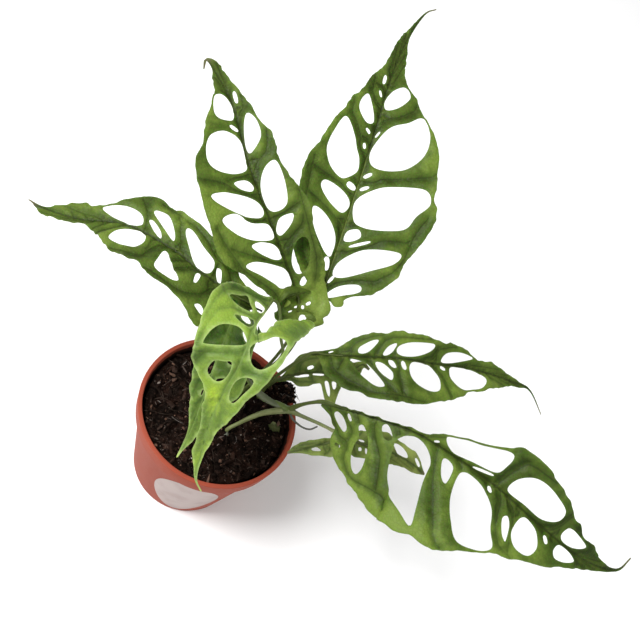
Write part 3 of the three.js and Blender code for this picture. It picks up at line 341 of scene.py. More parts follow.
ARCHING = LeafShape(
    node="leaf_arching", finish=Green.YOUNG, seed=4, core=0, face=((0, 0.2, 1), (0, -0.8, 1), (0, -1, 0.6)),
    fold_left=(5, 5), fold_right=(5, 5),
    stalk=Stalk(
        ((6, 26, 97), (10.5, 27.5, 135), (15, 30, 165), (7, 27, 188), (-5, 36, 203)), (1.5, 1.1), 0,
        Root.SOIL,
    ),
    spine=(
        (-11, 34, 210), (-11, 14, 221), (-11, -6, 231), (-8, -22, 232), (-5, -35, 225), (-4, -45, 210),
        (0, -58, 186), (6, -67, 166), (12, -76, 152), (20, -78, 143),
    ),
    left=(
        (0, 0.5), (24, 0.7), (44, 1), (52.6, 2.4), (49, 6.2), (42, 7.8), (35, 8.8), (26, 10.2), (19, 13),
        (12.2, 19.2), (5, 24.2), (1, 28), (1.2, 31.6), (7, 32.6), (16, 31.4), (27, 29.4), (40, 27.7),
        (50, 27), (57, 25.5), (65, 24), (72, 21.5), (80, 18.5), (87, 16), (95, 14), (105, 12), (115, 10),
        (121, 7), (130, 5.2), (138, 3.5), (145, 1.8), (155, 0.9), (175, 0.5),
    ),
    right=(
        (0, 3), (7, 8), (11, 18), (17, 27), (24, 30.5), (32, 32.3), (42, 33.5), (54, 32.4), (65, 30.8),
        (75, 30), (83, 28.2), (88, 25), (92, 19.5), (96, 14), (101, 10.4), (110, 8.5), (120, 6), (129, 5.3),
        (143, 5.6), (151, 4), (158, 2), (167, 0.7), (175, 0.5),
    ),
    holes=(
        ((20.5, 1.4), (26, 1), (31.5, 3.6), (26, 7.4), (20.5, 8.4)),
        ((22.5, 15), (30, 10), (35.4, 6.4), (38, 12), (39, 22), (35.6, 23.4), (28, 18.6)),
        ((42.4, 2.4), (46.5, 1.2), (50, 3.6), (49.5, 9), (47, 14.2), (44.5, 9)),
        ((53, 9), (57, 3), (61.5, 1.2), (65, 7), (70, 22), (70, 25.4), (62, 23.6), (55, 18)),
        ((75, 5), (82, 3.2), (88, 4), (91, 8), (88, 15), (80, 14.6), (76.4, 9)),
        ((79, -12.6), (88, -11.4), (98.5, -8.6), (96.5, -4.4), (86, -3), (80, -6)),
        ((50, -14), (48.6, -17.4), (52.5, -22.4), (59, -22.4), (66.2, -19.6), (70, -16.6), (72.6, -12.4),
         (71.8, -7.4), (68, -4.2), (62.6, -2.4), (58, -5.2), (55.6, -9.4)),
    ),
    folds=(
        Fold(((92, 0), (98, 5), (101, 5)), 1.4, 3.2), Fold(((103.6, 3), (105.2, 3)), -1.8, 1.8),
        Fold(((60, 20), (72, 12), (76, 2)), 1.5, 3.5), Fold(((110, 2), (130, 1), (150, 0)), -1.2, 2.5),
    ),
    flaps=(
        # A dark under-curl in the sinus, painted shade of the blade beneath.
        Flap(
            ((45, -2), (49.5, -2.8), (54, -4), (58, -5.6)),
            ((45.6, -5), (49, -7.6), (53, -9.6), (56.4, -9.4)),
            -2.6, 0.3, -1.8,
        ),
    ),
    washes=(
        # The first two washes are a painted highlight on the bend.
        Wash((98, 6), (9, 6), 1.7), Wash((108, 2.4), (9, 4.5), 1.2), Wash((24, -24), (18, 9), -0.5),
        Wash((145, 0), (22, 10), 0.35), Wash((80, 26), (12, 7), -0.5), Wash((52, 28), (14, 10), 0.5),
        Wash((42, -24), (6, 8), 0.5), Wash((10, 14), (16, 12), -0.7), Wash((35, -14), (10, 5), 0.3),
        Wash((66, 28), (10, 6), 0.4), Wash((76, 0), (8, 12), -0.3),
    ),
)

UNDER_ARCH = LeafShape(
    node="leaf_under_arch", finish=Green.YOUNG, seed=5, face=((0, -0.2, 1), (0, -1, 1), (0, -1, 0.6)),
    fold_left=(5, 5), fold_right=(5, 5),
    stalk=Stalk(
        ((33, 17, 131), (21, 11, 137), (7, 8, 147), (-9, 13, 160), (-22, 28, 171), (-30, 41, 180)),
        (1.6, 1.1), 0, Root.NODE,
    ),
    spine=(
        (-29, 37, 186), (-27, 14, 194), (-23, -4, 194), (-18, -20, 184), (-13, -34, 166), (-8, -48, 146),
        (-6, -62, 130),
    ),
    left=(
        (0, 3), (8, 8), (16, 13), (24, 17), (32, 19.5), (45, 21), (55, 22), (66, 23), (72, 22), (80, 17.5),
        (90, 13), (100, 9), (112, 5), (118, 3.5), (125, 1.5), (132, 0.5),
    ),
    right=(
        (0, 3), (6, 9), (15, 12.5), (30, 14), (45, 14), (58, 13.8), (65, 13), (80, 11), (85, 9), (95, 6),
        (105, 3.3), (115, 1.5), (132, 0.5),
    ),
    holes=(
        (55.5, -9, 5, 2.6, 90), ((66, -10), (68.5, -9), (70.5, -4.5), (68, -4.6)),
        ((57, 1.2), (63, 0.8), (67.4, 1.4), (66, 3.8), (60, 3.6)), (81, 1.9, 4.4, 1.2, 0),
        (20, -8, 12, 6, -35), (36, -14, 10, 6, -35),
    ),
    # The strong dark wash is painted shade where the arching leaf hangs over this one.
    washes=(Wash((48, 0), (24, 26), -2.2), Wash((78, -6), (8, 10), -0.5)),
)

LOW_RIGHT = LeafShape(
    node="leaf_low_right", seed=6, core=0.55, face=((0.1, -0.2, 1), (0.2, -0.2, 1)), fold_left=(10, 10),
    fold_right=(10, 10),
    stalk=Stalk(((19, 33, 97), (19.5, 36, 112), (22, 41, 128)), (1.7, 1.3), 0),
    spine=(
        (31, 54, 152), (41, 56, 160), (64, 64, 172), (87, 77, 178), (107, 88, 178), (142, 114, 170),
        (181, 137, 158), (197, 144, 152), (217, 138, 142),
    ),
    left=(
        (0, 1.2), (12, 2.8), (20, 4.6), (25, 8), (35, 14), (48, 17.8), (58, 18), (66, 20.2), (74, 19.2),
        (82, 20), (92, 19.3), (105, 16.5), (112, 16.8), (123, 15), (134, 9.3), (143, 7.8), (152, 9),
        (165, 6.7), (178, 4), (190, 1.2), (223, 0.4),
    ),
    right=(
        (0, 1.2), (8, 2.5), (12, 10), (16, 17), (22, 21.5), (27, 25), (33, 28), (38, 28.4), (44, 31.4),
        (52, 32.4), (60, 34.4), (68, 34), (76, 34.8), (86, 33), (97, 30), (110, 27), (118, 24), (126, 19.8),
        (138, 18.3), (144, 16.5), (150, 13.2), (158, 11), (168, 7), (178, 4), (188, 2.6), (198, 1.2),
        (223, 0.4),
    ),
    holes=(
        (17, -1.9, 4, 1.2, -15), ((37, -3), (38, -7), (47, -12), (52, -12), (46, -5), (41, -2.4)),
        ((55, -2.4), (59, -8), (65, -10.6), (63, -5), (58, -1.6)),
        ((66, -3.5), (67, -9), (78, -13.4), (95, -14.6), (94, -10), (82, -4), (72, -1.8)),
        ((102.5, -2.2), (107, -8.4), (120, -10.6), (133, -8), (122, -4), (110, -1.6)),
        ((32, 2.4), (43, 5.5), (50, 13), (54.5, 22), (49, 23), (40, 15), (34, 7)),
        ((49.5, 4), (55, 5.5), (61, 12), (60, 18), (55, 14.5), (50.5, 8.5)),
        ((59, 2), (63, 3), (65, 7.6), (61, 6.6)), (70.6, 5.6, 7.4, 3.4, 72),
        ((75, 6), (79, 1.2), (90, 2), (98, 10), (96.5, 21), (86, 22), (77, 15)), (103.4, 3.2, 5, 3, 30),
        ((109, 6), (113, 1.2), (130, 1.2), (147, 5.6), (142, 14), (128, 18), (118, 18.6), (110, 12)),
    ),
    washes=(
        Wash((184, -6), (26, 14), 0.3), Wash((40, 22), (26, 8), -0.1), Wash((100, -24), (50, 6), 0.3),
        Wash((130, 16), (50, 14), 0.4), Wash((120, 0), (60, 30), 0.15),
    ),
)

RIM_LEAF = LeafShape(
    node="leaf_rim", finish=Green.DULL, seed=7, face=((0, -0.3, 1), (0.1, -0.3, 1)), fold_left=(10, 10),
    fold_right=(10, 10), stalk=Stalk(((22, 43, 97), (21.6, 42, 106)), (1.5, 1.1), 0),
    spine=(
        (22, 42, 114), (30, 49, 121), (41, 57, 128), (55, 66, 132), (67, 78, 132), (72, 88, 131),
        (79, 90, 128),
    ),
    left=(
        (0, 1.2), (7, 2), (12, 6), (18, 11), (26, 15), (34, 15.5), (42, 14), (50, 11), (58, 8), (68, 4),
        (78, 1.6), (90, 0.5),
    ),
    right=(
        (0, 1.2), (12, 4), (18, 8.6), (24, 10.5), (30, 9.6), (35, 9), (36.6, 16), (37.6, 22), (39.4, 27),
        (42, 27.4), (44, 23), (46, 18), (48, 14), (50, 11), (58, 9), (68, 5), (78, 1.6), (90, 0.5),
    ),
    holes=(
        ((15.5, 1), (20.4, 0.9), (26.2, 1), (26.3, 3), (20.6, 3), (17, 2.2)), (34, 1.9, 9, 2, 4),
        (28.5, -3.8, 5, 2.8, -15), (46, -3.6, 10, 3, -15),
        ((38.4, 8), (40.8, 8), (41.4, 15), (40.6, 20), (39.2, 16)),
        ((43.4, 8), (46, 9), (45, 13.4), (43.4, 14)),
    ),
)

LONG_RIGHT = LeafShape(
    node="leaf_long_right", seed=8, core=0.45, face=((0, -0.8, 0.6), (0.1, -0.4, 1), (0.2, -0.3, 1)),
    fold_left=(60, 20, 10), fold_right=(10, 10, 10),
    stalk=Stalk(((45, 22.6, 133), (48, 22, 142), (51.5, 20, 153)), (1.5, 1.3), 0, Root.NODE),
    spine=(
        (56, 18, 164), (74, 17, 176), (107, 18, 192), (128, 18, 198), (175, 15, 202), (219, 11, 198),
        (261, 14, 188), (291, 27, 180), (302, 45, 178),
    ),
    left=(
        (0, 2.5), (20, 2.8), (50, 2.8), (75, 3.2), (80, 6), (90, 12), (100, 15), (112, 19), (125, 26),
        (131, 31), (138, 32.8), (150, 33), (163, 29.5), (178, 26), (190, 19.5), (198, 18.3), (207, 12.6),
        (218, 12), (227, 7.6), (238, 3), (250, 1), (271, 0.5),
    ),
    right=(
        (0, 3), (7, 8), (10, 12), (13.4, 15.5), (13.4, 20), (12.4, 25), (14, 29.5), (18, 34), (24.5, 40),
        (35, 48), (45, 54), (58, 60), (68, 62.4), (80, 62.5), (92, 63.5), (101, 61), (110, 62.5), (120, 60.5),
        (133, 53.5), (143, 48), (152, 40), (168, 32), (180, 25), (192, 20), (200, 14.5), (215, 8), (230, 4),
        (245, 1.6), (271, 0.5),
    ),
    holes=(
        ((11, 6), (13, 3.4), (16.4, 4.6), (20.4, 8.8), (22.8, 13), (21.6, 15.6), (17, 12.8), (13, 9.4)),
        (23, 4.8, 6, 2.6, 55), (19.3, 25.8, 5, 2.4, 15),
        ((31, 8.4), (34, 7), (38.2, 12), (41, 18.5), (42, 27), (41.6, 35), (38.6, 40), (34.6, 38), (31.4, 30),
         (31.4, 22), (33, 16), (32, 11.5)),
        ((47, 3.5), (50, 1.4), (54, 5), (56.4, 9.5), (53.4, 11.6), (49.5, 10)),
        ((59, 13), (62, 6), (68.8, 3), (75, 3), (81, 5.4), (86, 9.6), (88.6, 14), (89.2, 20), (90.4, 28),
         (95, 44), (97.5, 56), (86, 51), (70, 43.5), (62, 34)),
        ((94, 6.5), (98, 4.8), (103, 8.4), (103.5, 19.6), (98.5, 17)),
        ((108, 12), (111, 5.2), (124, 6.2), (138, 14), (146, 26), (153, 36), (144, 45), (129, 48), (118, 38),
         (111, 26)),
        (131, 4.4, 5, 2.6, 40), ((148.6, 15), (151, 11), (156, 15), (159, 25), (154, 23.5)),
        ((158.4, 8), (162, 3), (172, 5.4), (178, 14), (175, 23), (166, 24.6), (159.5, 18)),
        (181.3, 6, 6, 3.4, 45), ((190, 8), (193, 2.2), (202, 1.6), (208.6, 5), (201, 10.4), (193, 12.2)),
        (84.6, -2.4, 4, 2, -30),
        ((88.5, -9), (98, -14), (112, -17.6), (129, -24), (130.5, -14), (127, -7), (112, -4), (97, -2)),
        (120.5, -3, 15, 2, -14),
        ((141, -3), (141, -13), (149, -21.6), (162, -23.4), (180, -19), (182, -11), (172, -4), (156, -3.4)),
        ((190, -5), (192, -11.6), (203, -11.4), (212.6, -8), (204, -2.6), (194, -1.6)),
    ),
    washes=(
        Wash((30, 56), (26, 12), 1.25), Wash((62, 66), (26, 8), 1.35), Wash((96, 60), (22, 10), 0.9),
        Wash((95, 38), (16, 20), 0.3), Wash((150, -6), (36, 16), -0.9), Wash((198, -4), (26, 12), -0.9),
        Wash((120, 0), (24, 6), -0.4), Wash((36, 24), (34, 24), 0.35),
    ),
)

SMALL_LEFT = LeafShape(
    node="leaf_small_left", finish=Green.DULL, seed=9, face=((0, -0.3, 1), (0, -0.3, 1)), fold_left=(8, 8),
    fold_right=(8, 8), stalk=Stalk(((83.9, 16.6, 137.6),), (1.1, 1), 0, Root.FAR_NODE),
    spine=((83.6, 15, 137.8), (76, 7, 138), (67, -2, 134), (57, -11, 128)),
    left=((0, 1.2), (4, 8), (9, 10), (14, 9), (20, 7), (25, 5), (30, 2.8), (35, 1.2), (41, 0.5)),
    right=((0, 1.2), (4, 2.4), (10, 3.6), (18, 4.6), (22, 5.6), (29, 5), (34, 3.4), (38, 1.4), (41, 0.5)),
    holes=(((16, -4.4), (21, -3), (22, -1), (18, -1.2)),),
)

SMALL_RIGHT = LeafShape(
    node="leaf_small_right", finish=Green.DULL, seed=10, face=((0, -0.3, 1), (0, -0.3, 1)), fold_left=(8, 8),
    fold_right=(8, 8), stalk=Stalk(((88, 20.4, 138.2),), (1.1, 1), 0, Root.FAR_NODE),
    spine=((89.4, 20, 138.8), (101, 22, 142), (120, 30, 140), (139, 36, 134), (154, 38, 128)),
    left=(
        (0, 1.2), (4, 8), (12, 10.4), (25, 13), (32, 12), (36, 11), (42, 10), (49, 8.6), (54, 8.4), (59, 6),
        (64, 3), (70, 0.5),
    ),
    right=(
        (0, 1.2), (3, 8), (7, 11), (13, 10), (25, 10), (32, 9.5), (39, 7.6), (47, 6.6), (54, 6), (60, 4.5),
        (67, 2), (70, 0.5),
    ),
    holes=(
        ((34, -6), (38, -7.6), (46, -4.8), (49, -1.6), (40, -1.2)), (58.5, -3.2, 8, 2.4, 25),
        (9, -1.9, 4.4, 1.4, 0), (9.4, 4.5, 3, 2.2, 80), (13.6, 4.6, 4.6, 1.8, 80),
    ),
)

LEAVES = (
    TALL_RIGHT, TALL_MIDDLE, FAR_LEFT, ARCHING, UNDER_ARCH, LOW_RIGHT, RIM_LEAF, LONG_RIGHT, SMALL_LEFT,
    SMALL_RIGHT,
)


# Lines and surfaces.


def smooth_line(points: Sequence, closed: bool = False, fine: int = 16) -> Rows:
    """A fine polyline along the smooth curve through some points.

    Args:
        points: the points, in two or three dimensions.
        closed: whether the last point runs on to the first.
        fine: how many pieces each span is cut into.

    Returns:
        The polyline, with the first point repeated at the end if closed.
    """
    given = np.asarray(points, float)
    if closed:
        row = np.vstack([given[-1:], given, given[:2]])
    else:
        row = np.vstack([2 * given[0] - given[1], given, 2 * given[-1] - given[-2]])
    u = np.linspace(0, 1, fine, endpoint=False)[:, None]
    spans = [
        0.5
        * (
            2 * b
            + (c - a) * u
            + (2 * a - 5 * b + 4 * c - d) * u**2
            + (3 * b - a - 3 * c + d) * u**3
        )
        for a, b, c, d in zip(row, row[1:], row[2:], row[3:])
    ]
    spans.append(given[:1] if closed else given[-1:])
    return np.vstack(spans)


def running(line: Rows) -> Rows:
    """Running length along a polyline."""
    steps = np.linalg.norm(np.diff(line, axis=0), axis=1)
    return np.concatenate([[0.0], np.cumsum(steps)])


def sample(line: Rows, run: Rows, where: Rows) -> Rows:
    """The points of a polyline at given running lengths."""
    return np.stack([np.interp(where, run, column) for column in line.T], axis=-1)


def evenly(line: Rows, step: float, least: int = 2) -> Rows:
    """A polyline sampled again in even steps, about so long and at least so many."""
    run = running(line)
    return sample(line, run, np.linspace(0, run[-1], max(least, round(run[-1] / step)) + 1))


def keyed(keys: Sequence, share: Rows) -> Rows:
    """Values read between keys at even places, eased from one to the next.

    Args:
        keys: the keys, each a number or a row of them.
        share: where to read, from 0 at the first key to 1 at the last.

    Returns:
        One value or row for each place.
    """
    table = np.asarray(keys, float)
    x = np.clip(share, 0, 1) * (len(table) - 1)
    low = np.minimum(x.astype(int), len(table) - 2)
    ease = (x - low) ** 2 * (3 - 2 * (x - low))
    if table.ndim > 1:
        ease = ease[..., None]
    return table[low] * (1 - ease) + table[low + 1] * ease


def unit(rows: Rows) -> Rows:
    """Rows scaled to length 1."""
    return rows / np.maximum(np.linalg.norm(rows, axis=-1, keepdims=True), 1e-12)


def rise(value: Rows, low: float, high: float) -> Rows:
    """0 below low, 1 above high, eased between."""
    x = np.clip((value - low) / (high - low), 0, 1)
    return x * x * (3 - 2 * x)


def bell(away: Rows, width: float | Rows) -> Rows:
    """1 on the spot, falling off smoothly over a width to each side."""
    return np.exp(-((away / width) ** 2))


def wander(points: Rows, size: float, seed: float) -> Rows:
    """Smooth noise from about -1 to 1 at each point.

    Args:
        points: rows of two or three coordinates.
        size: how far apart its bumps lie, in the points' own unit.
        seed: which noise.

    Returns:
        One value for each point.
    """
    flat = np.zeros((len(points), 3))
    flat[:, : points.shape[1]] = points / size
    flat += np.array([seed * 7.31, seed * 3.17, seed * 1.93])
    return np.array([noise.noise(Vector(p)) for p in flat])


def within(points: Rows, ring: Rows) -> Rows:
    """Which points lie inside a closed ring, in the (s, t) plane.

    Args:
        points: rows of (s, t).
        ring: the ring's points in order, the first not repeated.

    Returns:
        One truth value for each point.
    """
    low, high = ring.min(0), ring.max(0)
    near = ((points >= low) & (points <= high)).all(1)
    found = np.zeros(len(points), bool)
    if not near.any():
        return found
    x, y = points[near, 0][:, None], points[near, 1][:, None]
    x0, y0 = ring.T
    x1, y1 = np.roll(ring, -1, axis=0).T
    level = np.where(y1 == y0, 1e-12, y1 - y0)
    crossed = ((y0 > y) != (y1 > y)) & (x < (x1 - x0) * (y - y0) / level + x0)
    found[near] = crossed.sum(1) % 2 == 1
    return found


class Nearest:
    """The distance from a place to the nearest of some points in the plane."""

    def __init__(self, points: Rows) -> None:
        """Sort the points, so that the nearest is soon found.

        Args:
            points: rows of (s, t), or none.
        """
        far_off = [(1e6, 1e6)]
        given = points if len(points) else far_off
        self.tree = kdtree.KDTree(len(given))
        for index, (s, t) in enumerate(given):
            self.tree.insert((s, t, 0), index)
        self.tree.balance()

    def one(self, s: float, t: float) -> float:
        """Distance from one place."""
        return self.tree.find((s, t, 0))[2]

    def many(self, points: Rows) -> Rows:
        """Distances from many places."""
        return np.array([self.one(s, t) for s, t in points])

    def places(self, points: Rows) -> Rows:
        """The nearest place to each of many."""
        return np.array([self.tree.find((s, t, 0))[0][:2] for s, t in points])


@dataclass
class LeafSurface:
    """The curved surface of one leaf, from (s, t) to a place in the plant.

    step: how far before and after a place its direction is read.
    """

    shape: LeafShape
    step: float = 1.5

    def __post_init__(self) -> None:
        """Lay the midrib."""
        self.line = smooth_line(self.shape.spine, fine=40)
        self.run = running(self.line)
        self.length = float(self.run[-1])

    def frame(self, s: Rows) -> tuple[Rows, ...]:
        """The midrib's own axes at some places.

        Args:
            s: the places along it.

        Returns:
            Rows of origins and of the along, across and up directions.
        """
        origin = sample(self.line, self.run, s)
        ahead = sample(self.line, self.run, np.minimum(s + self.step, self.length))
        behind = sample(self.line, self.run, np.maximum(s - self.step, 0))
        along = unit(ahead - behind)
        face = unit(keyed(self.shape.face, s / self.length))
        across = unit(np.cross(along, face))
        return origin, along, across, np.cross(across, along)

    def place(self, points: Rows, lift: Rows) -> Rows:
        """Places in the plant, in millimetres.

        Args:
            points: rows of (s, t).
            lift: how far each stands off the plain surface, to its upper side.

        Returns:
            Rows of x, y, z.
        """
        s, t = points.T
        origin, along, across, up = self.frame(s)
        right, left = (keyed(fold, s / self.length) for fold in (self.shape.fold_right, self.shape.fold_left))
        angle = np.radians(np.where(t >= 0, right, left))[:, None]
        side = np.sign(t)[:, None]
        width = across * np.cos(angle) + up * np.sin(angle) * side
        out = unit(np.cross(width, along))
        return origin + width * t[:, None] + out * lift[:, None]


# Veins.


@dataclass
class VeinTracer:
    """Finds how the side veins run out between a blade's holes.

    length, outline and holes: the blade's. step: how far it moves at a time.
    look: how many steps ahead it looks. turns: how far it may turn at a step.
    heading and aim: the angle it starts at and the one it keeps to, in degrees
    at the base and how much less at the tip. spacing: the least distance
    between two veins at the midrib. longest: the widest stretch with no vein.
    near: the holes that part two veins begin no further out than this. steps:
    the most that one vein takes. wide: room beyond this counts no more. costs:
    of a turn and of a wrong angle. brink and meeting: how near an edge or
    another vein it ends. clear: how far out it is before it ends at an edge.
    """

    length: float
    outline: Rows
    holes: list[Rows]
    step: float = 1.6
    look: float = 2.2
    turns: tuple[float, ...] = (-0.34, -0.17, 0, 0.17, 0.34)
    heading: Pair = (72, 38)
    aim: Pair = (62, 30)
    spacing: float = 5.0
    longest: float = 13.0
    near: float = 9.0
    steps: int = 60
    wide: float = 7.0
    costs: Pair = (1.4, 0.5)
    brink: float = 0.9
    meeting: float = 2.4
    clear: float = 2.5

    def starts(self, sign: int) -> list[float]:
        """Where side veins leave the midrib on one side: between holes.

        Args:
            sign: 1 for the right side, -1 for the left.

        Returns:
            Their places along the midrib.
        """
        taken = []
        for ring in self.holes:
            reach = np.abs(ring[:, 1])
            if np.sign(ring[:, 1].mean()) != sign or reach.min() > self.near:
                continue
            base = ring[reach < reach.min() + 3.5]
            taken.append((base[:, 0].min(), base[:, 0].max()))
        taken.sort()
        found, last = [], 2.0
        for low, high in [*taken, (self.length * 0.82, self.length)]:
            gap = low - last
            if gap > self.longest:
                count = int(gap // self.longest) + 1
                found += [last + gap * (i + 0.5) / count for i in range(count)]
            elif gap > 0:
                found.append((low + last) / 2)
            last = max(last, high)
        kept: list[float] = []
        for s in found:
            if not kept or s - kept[-1] > self.spacing:
                kept.append(s)
        return kept

    def follow(self, start: float, sign: int, edges: Nearest, taken: Nearest | None) -> list[Rows]:
        """Follow one vein out to the margin, or to a vein that it meets.

        Args:
            start: where it leaves the midrib.
            sign: 1 for the right side, -1 for the left.
            edges: the blade's edges.
            taken: the veins that are there already.

        Returns:
            Its places (s, t), a step apart.
        """
        share = start / self.length
        heading, aim = (math.radians(low - less * share) for low, less in (self.heading, self.aim))
        of_turn, of_angle = self.costs
        spot = np.array([start, 0.6 * sign])
        line = [spot]
        for _ in range(self.steps):
            best = (-1e9, heading, spot)
            for turn in self.turns:
                angle = min(max(heading + turn, 0.1), 1.9)
                ahead = np.array([math.cos(angle), math.sin(angle) * sign])
                room = min(edges.one(*(spot + ahead * self.step * self.look)), self.wide)
                score = room - of_turn * abs(turn) - of_angle * abs(angle - aim)
                if score > best[0]:
                    best = (score, angle, spot + ahead * self.step)
            heading, spot = best[1], best[2]
            if abs(spot[1]) > self.clear and edges.one(*spot) < self.brink:
                break
            line.append(spot)
            if taken and len(line) > 4 and taken.one(*spot) < self.meeting:
                break
        return line

    def trace(self) -> list[Rows]:
        """Trace all the side veins.

        Returns:
            Each vein's line of (s, t) from the midrib outwards.
        """
        edges = Nearest(np.vstack([self.outline, *self.holes]))
        veins: list[Rows] = []
        for sign in (1, -1):
            for start in self.starts(sign):
                line = self.follow(start, sign, edges, Nearest(np.vstack(veins)) if veins else None)
                if len(line) > 3:
                    veins.append(evenly(smooth_line(np.array(line), fine=3), 1.1))
        return veins


# Meshes.


@dataclass
class Shell:
    """A mesh in the making: places in millimetres, faces, and values at each place."""

    places: Rows
    faces: list[Face]
    values: dict[str, Rows]

    @classmethod
    def joined(cls, shells: Iterable[Shell]) -> Shell:
        """Put several shells in one.

        Args:
            shells: the shells, which needn't carry the same values.

        Returns:
            The one shell, with 0 where a shell carries no such value.
        """
        places, faces, start = [], [], 0
        shells = list(shells)
        names = sorted({name for shell in shells for name in shell.values})
        values: dict[str, list[Rows]] = {name: [] for name in names}
        for shell in shells:
            places.append(shell.places)
            faces += [tuple(v + start for v in face) for face in shell.faces]
            start += len(shell.places)
            for name in names:
                values[name].append(shell.values.get(name, np.zeros(len(shell.places))))
        return cls(np.vstack(places), faces, {n: np.concatenate(v) for n, v in values.items()})

    @classmethod
    def between(
        cls, upper: Rows, lower: Rows, faces: Sequence[Face], values: dict[str, Rows]
    ) -> Shell:
        """Close the space between two layers of the same points.

        Args:
            upper: the places of the upper layer.
            lower: those of the lower one.
            faces: the upper layer's faces, looking away from the lower.
            values: what each point of a layer carries.

        Returns:
            The closed shell, with "under" 1 on its lower layer.
        """
        count = len(upper)
        made = [*faces, *(tuple(v + count for v in reversed(face)) for face in faces)]
        edges = {edge for face in faces for edge in zip(face, face[1:] + face[:1])}
        made += [(b, a, a + count, b + count) for a, b in sorted(edges) if (b, a) not in edges]
        both = {name: np.tile(row, 2) for name, row in values.items()}
        both["under"] = np.repeat([0.0, 1.0], count)
        return cls(np.vstack([upper, lower]), made, both)

    def object(self, name: str) -> Thing:
        """Make the shell a Blender object, at the origin.

        Args:
            name: the object's name.

        Returns:
            The object, with each value as an attribute of its points.
        """
        mesh = bpy.data.meshes.new(name)
        mesh.from_pydata((self.places * MM).tolist(), [], self.faces)
        for key, row in self.values.items():
            store(mesh, key, row)
        mesh.validate()
        mesh.update()
        made = bpy.data.objects.new(name, mesh)
        bpy.context.scene.collection.objects.link(made)
        return made


def limb(path: Sequence, radii: Sequence[float], sides: int = 12, step: float = 1.6) -> Shell:
    """A closed round limb along a smooth path, its radius easing end to end.

    Args:
        path: points of its middle line.
        radii: its radius at even places along the path.
        sides: how many sides it has.
        step: how far apart its rings lie.

    Returns:
        The limb, with "stalk" set to 1.
    """
    middle = evenly(smooth_line(path), step, 3)
    along = unit(np.gradient(middle, axis=0))
    side = np.zeros_like(middle)
    last = np.array([1.0, 0.0, 0.0])
    for i, direction in enumerate(along):
        last = last - direction * (last @ direction)
        last /= np.linalg.norm(last)
        side[i] = last
    other = np.cross(along, side)
    radius = keyed(radii, np.linspace(0, 1, len(middle)))
    turn = np.linspace(0, 2 * math.pi, sides, endpoint=False)
    rings = (
        middle[:, None]
        + side[:, None] * (np.cos(turn)[:, None] * radius[:, None, None])
        + other[:, None] * (np.sin(turn)[:, None] * radius[:, None, None])
    )
    faces: list[Face] = []
    for i in range(len(middle) - 1):
        for k in range(sides):
            a, b = i * sides + k, i * sides + (k + 1) % sides
            faces.append((a, b, b + sides, a + sides))
    faces.append(tuple(reversed(range(sides))))
    faces.append(tuple(range((len(middle) - 1) * sides, len(middle) * sides)))
    flat = rings.reshape(-1, 3)
    return Shell(flat, faces, {"stalk": np.ones(len(flat))})


def rooted(path: Sequence[Triple]) -> list[Triple]:
    """A limb's path from the soil's top up, run on down into its hole."""
    x, y, z = path[0]
    return [(x, y, z - HOLE_DEPTH + SOIL_SEAT), (x, y, z - 6), (x, y, z + 3), *path[1:]]


def store(mesh: bpy.types.Mesh, name: str, row: Rows) -> None:
    """Give each point of a mesh a value."""
    mesh.attributes.new(name, "FLOAT", "POINT").data.foreach_set("value", row.astype(np.float32))


def deselect() -> None:
    """Leave nothing selected."""
    for thing in bpy.context.selected_objects:
        thing.select_set(False)


def choose(*things: Thing) -> None:
    """Make some objects the only ones selected, and the last the active one."""
    deselect()
    for thing in things:
        thing.select_set(True)
    bpy.context.view_layer.objects.active = things[-1]


@contextmanager
def editing(thing: Thing, everything: bool = True) -> Iterator[None]:
    """Edit one object's mesh.

    Args:
        thing: the object.
        everything: whether all of it is selected first.

    Yields:
        Nothing, in edit mode.
    """
    choose(thing)
    bpy.ops.object.mode_set(mode="EDIT")
    if everything:
        bpy.ops.mesh.select_all(action="SELECT")
    yield
    bpy.ops.object.mode_set(mode="OBJECT")


def rod(radius: float, depth: float, place: Triple, sides: int) -> Thing:
    """Add an upright cylinder.

    Args:
        radius: its radius.
        depth: its length.
        place: its middle.
        sides: how many sides it has.

    Returns:
        The cylinder.
    """
    deselect()
    bpy.ops.mesh.primitive_cylinder_add(
        vertices=sides, radius=radius * MM, depth=depth * MM, location=[v * MM for v in place]
    )
    return bpy.context.object


def round_off(thing: Thing, degrees: float = 38) -> None:
    """Shade an object smooth, but for its edges sharper than an angle."""
    choose(thing)
    bpy.ops.object.shade_smooth_by_angle(angle=math.radians(degrees))


def apply_all(thing: Thing) -> None:
    """Apply every modifier of an object.

    Args:
        thing: the object.
    """
    choose(thing)
    for modifier in list(thing.modifiers):
        bpy.ops.object.modifier_apply(modifier=modifier.name)


def reskin(thing: Thing, voxel: float, soften: int = 0) -> None:
    """Fuse an object's shells under one even skin.

    Args:
        thing: the object.
        voxel: how fine the skin is.
        soften: how many times it is smoothed.
    """
    skin = thing.modifiers.new("skin", "REMESH")
    skin.mode = "VOXEL"
    skin.voxel_size = voxel * MM
    if soften:
        smooth = thing.modifiers.new("soften", "SMOOTH")
        smooth.iterations = soften
        smooth.factor = 0.5
    apply_all(thing)


def settle(thing: Thing, node: str | None, finish: Finish) -> Thing:
    """Dress a finished piece, seat it on the plant and let it stand for its node.

    Args:
        thing: the piece, at the origin.
        node: the node that it stands for, or None.
        finish: its finish.

    Returns:
        The piece.
    """
    thing.data.materials.clear()
    thing.data.materials.append(mixed(finish))
    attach(thing, "root")
    if node:
        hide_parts(node)
    return thing


# Shaders.

# How a wave, a map range and a mix node are set.
LEVEL = {"wave_type": "BANDS", "bands_direction": "Z"}
EASED = {"interpolation_type": "SMOOTHSTEP", "clamp": True}
COLOURS = {"data_type": "RGBA", "clamp_factor": True}


